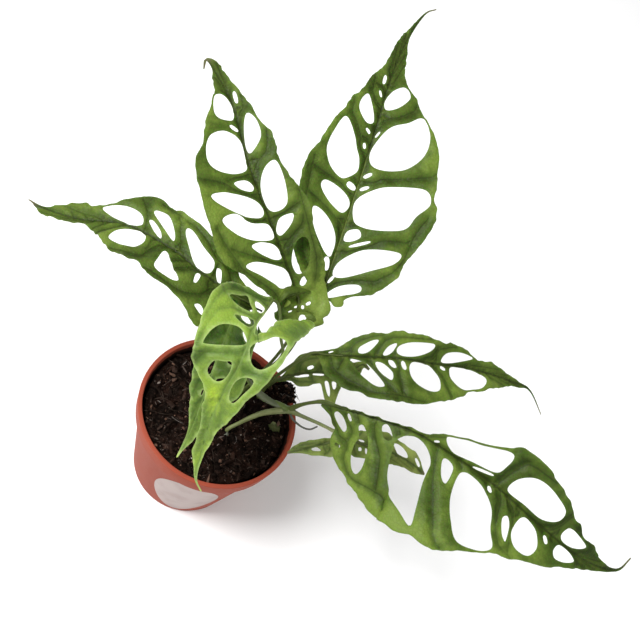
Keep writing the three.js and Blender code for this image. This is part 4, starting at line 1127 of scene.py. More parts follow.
@dataclass(frozen=True)
class Term:
    """A number in a material, for use in plain arithmetic: a graph's socket."""

    graph: Graph
    socket: Socket

    def __add__(self, other: Term | float) -> Term:
        """Sum."""
        return self.graph.maths("ADD", self, other)

    __radd__ = __add__

    def __sub__(self, other: Term | float) -> Term:
        """Difference."""
        return self.graph.maths("SUBTRACT", self, other)

    def __rsub__(self, other: float) -> Term:
        """Difference from a plain number."""
        return self.graph.maths("SUBTRACT", other, self)

    def __mul__(self, other: Term | float) -> Term:
        """Product."""
        return self.graph.maths("MULTIPLY", self, other)

    __rmul__ = __mul__


class Graph:
    """A material's nodes, added by kind, settings and sockets."""

    def __init__(self, name: str) -> None:
        """Start an empty material.

        Args:
            name: its name.
        """
        self.material = bpy.data.materials.new(name)
        self.material.use_nodes = True
        self.tree = self.material.node_tree
        self.tree.nodes.clear()

    def node(self, kind: str, settings: dict | None = None, sockets: dict | None = None) -> bpy.types.Node:
        """Add a node.

        Args:
            kind: its type.
            settings: its properties, set first.
            sockets: values or links of its inputs, by name or number.

        Returns:
            The node.
        """
        made = self.tree.nodes.new(kind)
        for key, value in (settings or {}).items():
            setattr(made, key, value)
        for key, value in (sockets or {}).items():
            self.plug(made.inputs[key], value)
        return made

    def plug(self, socket: Socket, value: object) -> None:
        """Link a term or socket to an input, or set its plain value.

        Args:
            socket: the input.
            value: a term, an output socket, a colour, a vector or a number.
        """
        if isinstance(value, Term):
            value = value.socket
        if isinstance(value, Socket):
            self.tree.links.new(value, socket)
        elif isinstance(value, tuple) and len(value) == 3 and socket.type == "RGBA":
            socket.default_value = (*value, 1)
        else:
            socket.default_value = value

    def maths(self, operation: str, first: object, second: object) -> Term:
        """A Math node on two numbers."""
        made = self.node("ShaderNodeMath", {"operation": operation}, {0: first, 1: second})
        return Term(self, made.outputs[0])

    def attribute(self, name: str) -> Term:
        """A value that the mesh carries at each vertex."""
        return Term(self, self.node("ShaderNodeAttribute", {"attribute_name": name}).outputs["Fac"])

    def position(self, stretch: Triple | None = None) -> Socket:
        """Object coordinates.

        Args:
            stretch: how far to stretch them along each axis, if at all.

        Returns:
            The socket that gives them.
        """
        place = self.node("ShaderNodeTexCoord").outputs["Object"]
        if stretch is None:
            return place
        return self.node("ShaderNodeMapping", None, {"Vector": place, "Scale": stretch}).outputs[0]

    def cloud(self, where: Socket, scale: float, detail: float, rough: float = 0.5, warp: float = 0) -> Term:
        """Smooth noise from 0 to 1, mostly near a half."""
        sockets = {"Vector": where, "Scale": scale, "Detail": detail, "Roughness": rough, "Distortion": warp}
        return Term(self, self.node("ShaderNodeTexNoise", None, sockets).outputs[0])

    def cells(self, where: Socket, scale: float, feature: str = "DISTANCE_TO_EDGE") -> Term:
        """The distance to the middle or the edge of the nearest of many cells."""
        made = self.node("ShaderNodeTexVoronoi", {"feature": feature}, {"Vector": where, "Scale": scale})
        return Term(self, made.outputs["Distance"])

    def rings(self, where: Socket, scale: float) -> Term:
        """Level bands, one over the other, a little uneven."""
        made = self.node("ShaderNodeTexWave", LEVEL, {"Vector": where, "Scale": scale, "Distortion": 0.3})
        return Term(self, made.outputs[1])

    def ease(self, value: Term, low: float, high: float) -> Term:
        """0 below low, 1 above high, eased between."""
        made = self.node("ShaderNodeMapRange", EASED, {"Value": value, "From Min": low, "From Max": high})
        return Term(self, made.outputs[0])

    def tint(self, share: object, first: object, second: object) -> Socket:
        """A colour between two."""
        return self.node("ShaderNodeMix", COLOURS, {0: share, 6: first, 7: second}).outputs[2]

    def bump(self, height: Term, depth: float, strength: float) -> Socket:
        """A normal that follows a height from 0 to 1, in metres deep."""
        sockets = {"Height": height, "Distance": depth, "Strength": strength}
        return self.node("ShaderNodeBump", None, sockets).outputs[0]

    def finish(self, sockets: dict) -> Material:
        """Close the graph with one surface shader.

        Args:
            sockets: the shader's values and links, by name.

        Returns:
            The material.
        """
        surface = self.node("ShaderNodeBsdfPrincipled", None, sockets)
        self.node("ShaderNodeOutputMaterial", None, {"Surface": surface.outputs[0]})
        return self.material


# Finishes.


@dataclass(frozen=True)
class LeafFinish:
    """How a blade looks. The colours are linear light.

    deep, mid, light and bright: its greens from the darkest. rib, under, rim,
    tip and stalk: the colours of those. roughness and gloss: of its skin.
    glow: how much light soaks in. outlined: how far the rim's colour shows.
    """

    name: str
    deep: Colour
    mid: Colour
    light: Colour
    rib: Colour
    under: Colour
    rim: Colour
    tip: Colour
    stalk: Colour
    roughness: float = 0.36
    glow: float = 0.08
    gloss: float = 0.1
    outlined: float = 0.4
    bright: Colour = (0.150, 0.205, 0.040)

    def material(self) -> Material:
        """Mix the greens by cloud, vein and wash, with painted shade and painted highlight from the blade's
        relief.

        Returns:
            The material.
        """
        graph = Graph(self.name)
        where = graph.position()
        wash, puff = graph.attribute("wash"), graph.attribute("puff")
        broad = graph.cloud(where, 26, 2)
        patch = graph.cloud(where, 85, 3, 0.6, 0.6)
        streak = graph.cloud(where, 260, 2, 0.6)
        grain = graph.cloud(where, 900, 2)
        net = graph.cells(where, 430)
        shade = graph.attribute("shade")
        # The puff term is painted light: lighter on the swells between veins, darker in the vein valleys. The
        # shade term is painted shade, and the washes are partly painted highlight and painted shade.
        tone = broad * 1.3 + patch * 0.6 + streak * 0.26 + (puff - 0.5) * 0.26 + 0.04
        tone = tone + wash * 0.45 - shade * 0.34
        colour = graph.tint(graph.ease(tone, 0.73, 1.10), self.deep, self.mid)
        colour = graph.tint(graph.ease(tone, 1.04, 1.46), colour, self.light)
        # Strong washes turn bright green; on the arching leaf this is a painted highlight.
        colour = graph.tint(graph.ease(wash, 0.9, 2.2), colour, self.bright)
        colour = graph.tint((1 - graph.ease(net, 0.0, 0.1)) * 0.2, colour, self.deep)
        # The ridge highlight is painted highlight beside the ribs and veins.
        for line, share, over in (
            ("halo", 0.28, self.light),
            ("under", 0.6, self.under),
            ("vein", 0.26, self.rib),
            ("rib", 0.9, self.rib),
            ("pale_rib", 0.75, self.light),
            ("rim", self.outlined, self.rim),
        ):
            colour = graph.tint(graph.attribute(line) * share, colour, over)
        colour = graph.tint(graph.attribute("stalk"), colour, self.stalk)
        colour = graph.tint(graph.attribute("tip"), colour, self.tip)
        quilt = graph.cloud(where, 170, 1)
        height = graph.ease(net, 0.0, 0.25) * 0.12 + grain * 0.06 + streak * 0.2 + quilt * 0.9
        return graph.finish(
            {
                "Base Color": colour,
                "Roughness": self.roughness + (0.2 * streak + 0.1 * graph.attribute("under")),
                "Normal": graph.bump(height, 0.0011, 0.8),
                "Subsurface Weight": self.glow,
                "Subsurface Radius": (0.35, 1.0, 0.12),
                "Subsurface Scale": 0.002,
                "Specular IOR Level": self.gloss,
            }
        )


@dataclass(frozen=True)
class StemFinish:
    """How a stem, a sheath or an aerial root looks."""

    name: str
    green: Colour = (0.110, 0.135, 0.038)
    pale: Colour = (0.210, 0.240, 0.085)
    brown: Colour = (0.085, 0.085, 0.036)

    def material(self) -> Material:
        """Mix green, pale and brown in clouds, streaks and flecks.

        Returns:
            The material.
        """
        graph = Graph(self.name)
        where = graph.position()
        along = graph.cloud(where, 60, 3)
        streak = graph.cloud(where, 420, 3, 0.6)
        fleck = graph.cells(where, 900, "F1")
        colour = graph.tint(graph.ease(along, 0.35, 0.65), self.green, self.pale)
        colour = graph.tint(graph.ease(streak, 0.52, 0.8) * 0.5, colour, self.brown)
        colour = graph.tint((1 - graph.ease(fleck, 0.1, 0.3)) * 0.25, colour, self.pale)
        return graph.finish(
            {
                "Base Color": colour,
                "Roughness": 0.45 + 0.15 * streak,
                "Normal": graph.bump(streak * 0.6 + along * 0.4, 0.0003, 0.5),
                "Subsurface Weight": 0.1,
                "Subsurface Radius": (0.4, 1.0, 0.15),
                "Subsurface Scale": 0.002,
            }
        )


@dataclass(frozen=True)
class PlasticFinish:
    """Thin moulded plastic, dusty outside, its inner wall darkened by soil stain and painted shade."""

    name: str
    colour: Colour = (0.255, 0.052, 0.029)
    worn: Colour = (0.300, 0.070, 0.041)
    dust: Colour = (0.160, 0.052, 0.032)
    soiled: Colour = (0.020, 0.010, 0.007)

    def material(self) -> Material:
        """Mix the plastic's colours, darken the inner wall with soil stain and painted shade, and give it the
        mould's fine rings.

        Returns:
            The material.
        """
        graph = Graph(self.name)
        where = graph.position()
        broad = graph.cloud(where, 18, 3)
        smear = graph.cloud(graph.position((60, 60, 14)), 1, 4, 0.6)
        grain = graph.cloud(where, 1500, 2)
        clods = graph.cloud(where, 160, 4, 0.65)
        colour = graph.tint(graph.ease(broad, 0.35, 0.7) * 0.6, self.colour, self.worn)
        colour = graph.tint(graph.ease(smear, 0.56, 0.78) * 0.2, colour, self.dust)
        # Soil stain and painted shade darken the inner wall below the soil line, broken up by noise.
        stain_and_shade_mask = graph.ease(graph.attribute("soiled") + clods * 0.9, 0.86, 1.02)
        colour = graph.tint(stain_and_shade_mask, colour, self.soiled)
        return graph.finish(
            {
                "Base Color": colour,
                "Roughness": 0.46 + 0.18 * smear + 0.06 * grain,
                "Normal": graph.bump(graph.rings(where, 160) * 0.5 + grain * 0.3 + smear * 0.2, 0.00009, 0.5),
                "Subsurface Weight": 0.06,
                "Subsurface Radius": (1.0, 0.35, 0.2),
                "Subsurface Scale": 0.003,
                "Specular IOR Level": 0.06,
            }
        )


@dataclass(frozen=True)
class PaperFinish:
    """Coated paper, bare and a little scuffed."""

    name: str
    colour: Colour = (0.370, 0.300, 0.280)
    scuffed: Colour = (0.290, 0.220, 0.200)

    def material(self) -> Material:
        """Scuff the paper and raise its soft creases.

        Returns:
            The material.
        """
        graph = Graph(self.name)
        where = graph.position()
        broad = graph.cloud(where, 70, 3)
        grain = graph.cloud(where, 1200, 2)
        return graph.finish(
            {
                "Base Color": graph.tint(graph.ease(broad, 0.46, 0.72) * 0.5, self.colour, self.scuffed),
                "Roughness": 0.4 + 0.2 * broad,
                "Normal": graph.bump(broad * 0.8 + grain * 0.1, 0.0006, 0.5),
                "Specular IOR Level": 0.2,
            }
        )


@dataclass(frozen=True)
class EarthFinish:
    """Moist potting mix, or one of the bits in it.

    dark, brown and pale: its colours. glint and specks: the colour of the
    painted glints, small highlights painted on the mix, and how far they
    show. roughness and gloss: of its surface. scale: how much finer than the
    mix its pattern is.
    """

    name: str
    dark: Colour = (0.0016, 0.0010, 0.0008)
    brown: Colour = (0.013, 0.0054, 0.0034)
    pale: Colour = (0.095, 0.054, 0.038)
    glint: Colour = (0.260, 0.230, 0.210)
    roughness: float = 0.80
    scale: float = 1.0
    gloss: float = 0.06
    specks: float = 0.0

    def material(self) -> Material:
        """Mix the browns in clouds and grit, with painted glints as specks and painted shade in the hollow.

        Returns:
            The material.
        """
        graph = Graph(self.name)
        where = graph.position()
        broad = graph.cloud(where, 90 * self.scale, 3, 0.6)
        fine = graph.cloud(where, 420 * self.scale, 4, 0.65)
        grit = graph.cells(where, 700 * self.scale, "F1")
        dot = graph.cells(where, 380, "F1")
        # Painted glints: small light specks in the colour where the broad cloud is high.
        lit = (1 - graph.ease(dot, 0.06, 0.13)) * graph.ease(broad, 0.42, 0.6)
        colour = graph.tint(graph.ease(broad, 0.4, 0.68), self.dark, self.brown)
        colour = graph.tint(graph.ease(fine, 0.58, 0.8) * 0.6, colour, self.pale)
        colour = graph.tint(graph.ease(grit, 0.35, 0.6) * 0.5, colour, self.dark)
        colour = graph.tint(graph.ease(graph.attribute("shade"), 0.78, 1.0) * 0.8, colour, self.pale)
        colour = graph.tint(lit * self.specks, colour, self.glint)
        # Painted shade: the soil's hollow turns dark.
        colour = graph.tint(graph.attribute("hollow"), colour, self.dark)
        return graph.finish(
            {
                "Base Color": colour,
                "Roughness": self.roughness - 0.3 + 0.4 * fine,
                "Normal": graph.bump(fine * 0.6 + grit * 0.4, 0.0011, 0.8),
                "Specular IOR Level": self.gloss,
                "Specular Tint": (1.0, 0.72, 0.58),
            }
        )


class Finish(Enum):
    """How the pieces of the plant are finished."""

    MATURE = LeafFinish(
        "leaf_green", deep=(0.016, 0.026, 0.003), mid=(0.043, 0.068, 0.009), light=(0.118, 0.166, 0.025),
        rib=(0.018, 0.027, 0.005), under=(0.060, 0.088, 0.022), rim=(0.080, 0.112, 0.024),
        tip=(0.120, 0.105, 0.060), stalk=(0.080, 0.105, 0.028),
    )
    YOUNG = LeafFinish(
        "young_leaf_green", deep=(0.034, 0.066, 0.011), mid=(0.098, 0.156, 0.028),
        light=(0.182, 0.266, 0.036), rib=(0.130, 0.200, 0.045), under=(0.095, 0.150, 0.036),
        rim=(0.340, 0.430, 0.160), tip=(0.300, 0.380, 0.110), stalk=(0.100, 0.135, 0.036), glow=0.12,
        gloss=0.14, outlined=0.5, bright=(0.300, 0.410, 0.034),
    )
    DULL = LeafFinish(
        "dull_leaf_green", deep=(0.052, 0.075, 0.018), mid=(0.125, 0.156, 0.034), light=(0.245, 0.280, 0.072),
        rib=(0.042, 0.058, 0.016), under=(0.105, 0.135, 0.042), rim=(0.160, 0.190, 0.065),
        tip=(0.120, 0.105, 0.060), stalk=(0.085, 0.108, 0.036),
    )
    STEM = StemFinish("stem_green")
    SHEATH = StemFinish(
        "sheath_green", green=(0.190, 0.215, 0.070), pale=(0.270, 0.300, 0.130), brown=(0.120, 0.130, 0.050),
    )
    GREY_SHEATH = StemFinish(
        "grey_sheath", green=(0.062, 0.080, 0.032), pale=(0.105, 0.125, 0.058), brown=(0.050, 0.056, 0.028),
    )
    AERIAL_ROOT = StemFinish(
        "aerial_root", green=(0.075, 0.080, 0.060), pale=(0.120, 0.125, 0.100), brown=(0.050, 0.048, 0.038),
    )
    PLASTIC = PlasticFinish("terracotta_plastic")
    LABEL = PaperFinish("label_paper")
    SOIL = EarthFinish("moist_mix", gloss=0.08, roughness=0.74, specks=0.4)
    CRUMB = EarthFinish(
        "soil_crumb", brown=(0.013, 0.0056, 0.0036), pale=(0.180, 0.100, 0.068),
        scale=1.6, roughness=0.7, gloss=0.12, specks=0.3,
    )
    FLAKE = EarthFinish(
        "grey_flake", dark=(0.050, 0.038, 0.032), brown=(0.110, 0.088, 0.076), pale=(0.270, 0.235, 0.210),
        gloss=0.4,
    )
    BARK = EarthFinish(
        "bark_chip", dark=(0.007, 0.0035, 0.0025), brown=(0.026, 0.011, 0.007), pale=(0.170, 0.098, 0.070),
        roughness=0.66, gloss=0.22,
    )
    FIBRE = EarthFinish(
        "coir", dark=(0.020, 0.014, 0.010), brown=(0.070, 0.052, 0.042), pale=(0.290, 0.255, 0.230),
    )
    PALE_ROOT = EarthFinish(
        "pale_root", dark=(0.200, 0.210, 0.160), brown=(0.380, 0.400, 0.320), pale=(0.600, 0.620, 0.540),
    )
    MOSS = EarthFinish(
        "moss_scrap", dark=(0.060, 0.070, 0.026), brown=(0.105, 0.120, 0.050), pale=(0.160, 0.180, 0.085),
        scale=0.6,
    )
    PERLITE = EarthFinish(
        "perlite", dark=(0.300, 0.260, 0.220), brown=(0.560, 0.520, 0.470), pale=(0.800, 0.780, 0.740),
    )


@cache
def mixed(finish: Finish) -> Material:
    """The material of a finish, mixed when it is first asked for."""
    return finish.value.material()


# The leaves.


@dataclass
class BladePoints:
    """The points of a flat blade and how each lies to its lines.

    flat: rows of (s, t). outline, edge and vein: how far each is from the
    margin, from the margin or a hole, and from the nearest side vein. behind:
    1 on the base's side of that vein, 0 on the tip's. swell: 1 well between
    two veins, 0 on one. share: how far up the blade it is, from 0 to 1.
    """

    flat: Rows
    outline: Rows
    edge: Rows
    vein: Rows
    behind: Rows
    swell: Rows
    share: Rows


@dataclass
class Leaf:
    """One leaf: its pierced, veined blade and its stalk in one piece.

    thickness: of the blade and of its edge. edge_step and hole_step: how
    finely margins and holes are cut. margin_waves: the height and the size of
    the margin's waves. cell and shake: the grain of the mesh between the veins
    and how uneven it is. row_offsets and vein_offset: the rows of points by
    the midrib and by a vein. row_room and grain_room: the least distance of
    such points from each other and from an edge. puff: how far the blade
    swells between two veins. ripple, quilt and curl: how far it rolls, broadly,
    in small, and at its margin. droop and sag: how far it falls at an edge and
    behind a vein. rib_relief and vein_relief: how far these sink on the upper
    side and on the lower. flap_thickness: of a curled lobe.
    """

    shape: LeafShape
    thickness: Pair = (0.36, 0.12)
    edge_step: float = 1.4
    hole_step: float = 1.25
    margin_waves: tuple[Pair, ...] = ((0.8, 4.2), (0.9, 12))
    cell: float = 2.1
    shake: float = 0.3
    row_offsets: tuple[float, ...] = (0, 0.62, -0.62, 1.3, -1.3, 2.3, -2.3)
    vein_offset: float = 0.75
    row_room: Pair = (0.5, 0.45)
    grain_room: Pair = (1.25, 0.9)
    puff: float = 1.6
    ripple: float = 1.9
    quilt: float = 0.55
    curl: float = 0.95
    droop: float = 0.75
    sag: float = 0.7
    rib_relief: Pair = (0.35, 0.95)
    vein_relief: Pair = (0.12, 0.22)
    flap_thickness: float = 0.45

    def __post_init__(self) -> None:
        """Read the shape's lines."""
        self.surface = LeafSurface(self.shape)
        self.length = self.surface.length
        self.holes = [self.make_hole(hole) for hole in self.shape.holes]
        self.outline = self.make_outline()
        self.edges = Nearest(np.vstack([self.outline, *self.holes]))
        self.veins = VeinTracer(self.length, self.outline, self.holes).trace()

    def half(self, side: Sequence[Pair], sign: int) -> Rows:
        """One margin from base to tip as (s, t), with sign 1 on the right."""
        s, wide = smooth_line(side).T
        return np.stack([np.clip(s, 0, self.length), sign * np.maximum(wide, 0.4)], axis=1)

    def make_outline(self) -> Rows:
        """Join both margins and wave them finely, but not into a hole.

        Returns:
            The ring of the blade's edge.
        """
        right = self.half(self.shape.right, 1)
        left = self.half(self.shape.left, -1)
        ring = np.vstack([right, left[::-1], right[:1]])
        ring = evenly(ring, self.edge_step)[:-1]
        run = running(ring)
        ahead = np.roll(ring, -1, axis=0) - np.roll(ring, 1, axis=0)
        out = unit(np.stack([-ahead[:, 1], ahead[:, 0]], axis=1))
        places = np.stack([run, np.zeros_like(run)], axis=1)
        wave = np.zeros(len(ring))
        for index, (height, size) in enumerate(self.margin_waves):
            wave += height * wander(places, size, self.shape.seed + 5 * index)
        room = Nearest(np.vstack(self.holes)).many(ring)
        wave = wave * rise(np.abs(ring[:, 1]), 0.6, 5) * rise(room, 1.2, 5) + np.maximum(1.5 - room, 0)
        moved = ring + out * wave[:, None]
        moved[:, 0] = np.clip(moved[:, 0], 0, self.length)
        return moved

    def make_hole(self, hole: tuple) -> Rows:
        """Draw one hole, clear of the midrib.

        Args:
            hole: its loop of (s, t), or an oval (s, t, length, width, slant).

        Returns:
            Its ring.
        """
        if isinstance(hole[0], tuple):
            ring = evenly(smooth_line(hole, closed=True), self.hole_step, 8)[:-1]
        else:
            s, t, length, width, slant = hole
            count = max(8, round((length + width) / 1.1))
            a = np.linspace(0, 2 * math.pi, count, endpoint=False)
            x = np.sign(np.cos(a)) * np.abs(np.cos(a)) ** (2 / 2.4) * length / 2
            y = np.sign(np.sin(a)) * np.abs(np.sin(a)) ** (2 / 2.4) * width / 2
            cos, sin = math.cos(math.radians(slant)), math.sin(math.radians(slant))
            ring = np.stack([s + x * cos - y * sin, t + x * sin + y * cos], axis=1)
        sign = np.sign(ring[:, 1].mean())
        ring[:, 1] = sign * np.maximum(sign * ring[:, 1], 0.9)
        return ring

    def covers(self, points: Rows) -> Rows:
        """Which points lie on the blade and in none of its holes."""
        holed = [within(points, ring) for ring in self.holes]
        return within(points, self.outline) & ~np.any(holed, axis=0)

    def rows(self) -> Rows:
        """Lay rows of points along the midrib and along each vein.

        Returns:
            Rows of (s, t).
        """
        along = np.arange(1.0, self.length - 0.8, 2.0)
        rows = [np.stack([along, np.full_like(along, t)], axis=1) for t in self.row_offsets]
        for line in self.veins:
            ahead = unit(np.gradient(line, axis=0))
            side = self.vein_offset * np.stack([-ahead[:, 1], ahead[:, 0]], axis=1)
            rows += [line, line + side, line - side]
        return np.vstack(rows)

    def grain(self) -> Rows:
        """Lay a slightly uneven grid of points all over the blade.

        Returns:
            Rows of (s, t).
        """
        rng = np.random.default_rng(self.shape.seed + 11)
        low, high = self.outline.min(0), self.outline.max(0)
        s = np.arange(low[0], high[0], self.cell)
        t = np.arange(low[1], high[1], self.cell * 0.87)
        grid = np.stack(np.meshgrid(s, t, indexing="ij"), axis=-1)
        grid[:, ::2, 0] += self.cell / 2
        points = grid.reshape(-1, 2)
        return points + rng.uniform(-self.shake, self.shake, points.shape)

    def scatter(self, bucket: float = 1.3) -> Rows:
        """Choose the mesh's inner points: the rows, then the grain between them.

        Args:
            bucket: the size of the squares that near points are looked up in.

        Returns:
            Rows of (s, t), none too near another or an edge.
        """
        kept: dict[tuple[int, int], list[Rows]] = {}
        chosen = []
        for points, (gap, room) in ((self.rows(), self.row_room), (self.grain(), self.grain_room)):
            points = points[self.covers(points)]
            for point in points[self.edges.many(points) > room]:
                i, k = int(point[0] // bucket), int(point[1] // bucket)
                around = ((i + di, k + dk) for di in (-1, 0, 1) for dk in (-1, 0, 1))
                if all(math.dist(point, other) >= gap for key in around for other in kept.get(key, ())):
                    kept.setdefault((i, k), []).append(point)
                    chosen.append(point)
        return np.array(chosen)

    def cut(self) -> tuple[Rows, list[Face]]:
        """Mesh the flat blade with its holes open.

        Returns:
            Its points (s, t), and its triangles, all wound one way.
        """
        rings = [self.outline, *self.holes]
        edges, start = [], 0
        for ring in rings:
            count = len(ring)
            edges += [(start + i, start + (i + 1) % count) for i in range(count)]
            start += count
        points = np.vstack([*rings, self.scatter()])
        made = delaunay_2d_cdt([Vector(p) for p in points], edges, [], 0, 1e-5)
        flat = np.array([(v.x, v.y) for v in made[0]])
        faces = np.array(made[2])
        faces = faces[self.covers(flat[faces].mean(axis=1))]
        first, second = (flat[faces[:, corner]] - flat[faces[:, 0]] for corner in (1, 2))
        turned = first[:, 0] * second[:, 1] > first[:, 1] * second[:, 0]
        faces[turned] = faces[turned][:, [0, 2, 1]]
        return flat, [tuple(face) for face in faces.tolist()]

    def survey(self, flat: Rows) -> BladePoints:
        """Measure how the blade's points lie to its lines.

        Args:
            flat: the points.

        Returns:
            The points with the measures.
        """
        veins = Nearest(np.vstack(self.veins) if self.veins else np.zeros((0, 2)))
        to_vein = veins.many(flat)
        return BladePoints(
            flat=flat,
            outline=Nearest(self.outline).many(flat),
            edge=self.edges.many(flat),
            vein=to_vein,
            behind=rise((veins.places(flat) - flat)[:, 0], -0.5, 0.9),
            swell=1 - bell(np.minimum(to_vein, np.abs(flat[:, 1])), 2.8),
            share=flat[:, 0] / self.length,
        )

    def relief(self, at: BladePoints) -> Rows:
        """How far the blade stands off its plain surface at each point.

        Args:
            at: the points.

        Returns:
            One height for each.
        """
        seed, off = self.shape.seed, np.abs(at.flat[:, 1])
        lift = self.puff * at.swell
        lift += self.ripple * wander(at.flat, 26, seed) * rise(off, 2, 24)
        lift += self.quilt * wander(at.flat, 8, seed + 3) * rise(off, 1, 8)
        lift += self.curl * wander(at.flat, 4.6, seed + 9) * np.exp(-at.outline / 3.5) * rise(off, 2, 8)
        lift -= self.droop * np.exp(-at.edge / 1.4) * rise(off, 1, 4)
        lift -= self.sag * at.behind * bell(at.vein - 2, 2.2)
        for fold in self.shape.folds:
            away = Nearest(evenly(smooth_line(fold.line), 1.0)).many(at.flat)
            lift += fold.height * bell(away, fold.width)
        return lift

    def tones(self, at: BladePoints, rib: Rows, vein: Rows) -> dict[str, Rows]:
        """What the blade's finish is mixed by.

        Args:
            at: the points.
            rib: how far each is on the midrib.
            vein: how far each is on a side vein.

        Returns:
            The values, by name.
        """
        shape, (s, t), taper = self.shape, at.flat.T, 1 - 0.75 * at.share
        shown = rise(s, shape.rib_from - 3, shape.rib_from + 3)
        # Painted highlight beside the midrib, along the veins, and on the tip side of each vein.
        halo = bell(np.abs(t) - 1.7, 0.7) * taper + 0.5 * bell(at.vein - 1, 0.5)
        halo += 0.9 * shown * (1 - at.behind) * bell(at.vein - 3, 2.2)
        # Painted shade: dark beside the midrib, along the veins, and on the base side of each vein.
        shade = 1.5 * shape.core * bell(t, 1.8 + 3.0 * taper) + 0.12 * bell(at.vein, 0.9)
        shade += at.behind * (0.22 * bell(at.vein, 2.4) + 0.20 * bell(at.vein, 7.0))
        wash = np.zeros(len(s))
        for spot in shape.washes:
            wash += spot.strength * np.exp(-(((at.flat - spot.place) / spot.reach) ** 2).sum(1))
        return {
            "vein": vein * shown,
            "rib": rib * shown,
            "pale_rib": bell(t, 0.5) * (1 - rise(s, shape.pale_to - 12, shape.pale_to)),
            "shade": shade * shown,
            "halo": halo,
            "wash": wash,
            "rim": np.exp(-at.edge / 0.6),
            "puff": at.swell,
            "tip": rise(at.share, 0.93, 0.985),
        }

    def blade(self) -> Shell:
        """Raise the flat blade into a closed thin shell.

        Returns:
            The shell, with the values that its finish is mixed by.
        """
        flat, faces = self.cut()
        at = self.survey(flat)
        lift = self.relief(at)
        taper = 1 - 0.75 * at.share
        rib = bell(flat[:, 1], 0.3 + 0.55 * taper)
        vein = bell(at.vein, 0.45)
        full, thin = self.thickness
        half = (thin + (full - thin) * (1 - np.exp(-at.edge))) / 2
        upper, lower = (
            self.surface.place(flat, lift + side * half - rib_depth * rib * taper - vein_depth * vein)
            for side, rib_depth, vein_depth in zip((1, -1), self.rib_relief, self.vein_relief)
        )
        return Shell.between(upper, lower, faces, self.tones(at, rib, vein))

    def stalk(self) -> Shell:
        """Run the stalk on under the midrib, with a knee just below the blade.

        Returns:
            The stalk.
        """
        stalk = self.shape.stalk
        in_soil = stalk.root is Root.SOIL
        if in_soil:
            path = rooted(stalk.path)
        else:
            near = stalk.root is Root.NODE
            centre, radius = (Vector(NODE), NODE_RADIUS) if near else (Vector(FAR_NODE), FAR_NODE_RADIUS)
            away = (Vector(stalk.path[0]) - centre).normalized()
            path = [tuple(centre + away * radius * 0.6), *stalk.path]
        before = len(path)
        under = min(26.0, self.length / 3)
        for ahead in (1, under / 2, under):
            origin, _, _, up = self.surface.frame(np.array([stalk.joins + ahead]))
            path.append(tuple(origin[0] - up[0] * (1.3 if self.shape.rib_from > 0 else 0.45)))
        pieces = 16
        run = running(smooth_line(path, fine=pieces))
        share = np.linspace(0, 1, 60)
        foot, top = stalk.radii
        radii = keyed((foot, top, top, 0.45), share)
        radii *= 1 + 0.3 * bell((share - run[before * pieces] / run[-1] + 0.03) * run[-1], 5.5)
        if not in_soil:
            radii *= 1 + 0.45 * bell(share * run[-1], 9)
        return limb(path, radii, sides=12, step=2.0)

    def flap(self, flap: Flap, cols: int = 9) -> Shell:
        """Arch a curled lobe off the blade.

        Args:
            flap: the lobe.
            cols: how many points it has from root to edge.

        Returns:
            A closed thin shell.
        """
        root = evenly(smooth_line(flap.root), 1.3, 8)
        edge = evenly(smooth_line(flap.edge), 1.0, 8)
        rows = len(root)
        run = np.linspace(0, 1, rows)
        edge = sample(edge, running(edge) / running(edge)[-1], run)
        out = np.linspace(0, 1, cols)
        ends = np.maximum(np.sin(math.pi * run), 0.03) ** 0.6
        reach = np.outer(ends, out)[..., None]
        flat = (root[:, None] * (1 - reach) + edge[:, None] * reach).reshape(-1, 2)
        curve = np.sin(out * math.pi * (0.5 + 0.5 * flap.drop))
        lift = np.outer(ends, curve).ravel() * flap.height + 0.4
        lift += 0.5 * wander(flat, 5, self.shape.seed + 21) * np.tile(out, rows)
        corners = [i * cols + k for i in range(rows - 1) for k in range(cols - 1)]
        return Shell.between(
            self.surface.place(flat, lift),
            self.surface.place(flat, lift - self.flap_thickness),
            [(a, a + 1, a + cols + 1, a + cols) for a in corners],
            {
                "wash": np.full(rows * cols, flap.tone),
                "rim": np.tile(0.7 * np.exp(-(1 - out) * 6), rows),
                # Painted shade where the lobe leaves the blade.
                "shade": np.tile(0.2 * (1 - out), rows),
            },
        )

    def build(self) -> list[Thing]:
        """Make the leaf and dress it.

        Returns:
            The leaf.
        """
        parts = [self.blade(), self.stalk(), *map(self.flap, self.shape.flaps)]
        piece = Shell.joined(parts).object(self.shape.node + "_blade")
        with editing(piece):
            bpy.ops.mesh.normals_make_consistent(inside=False)
        round_off(piece, 42)
        return [settle(piece, self.shape.node, Finish[self.shape.finish.name])]


# The pot.


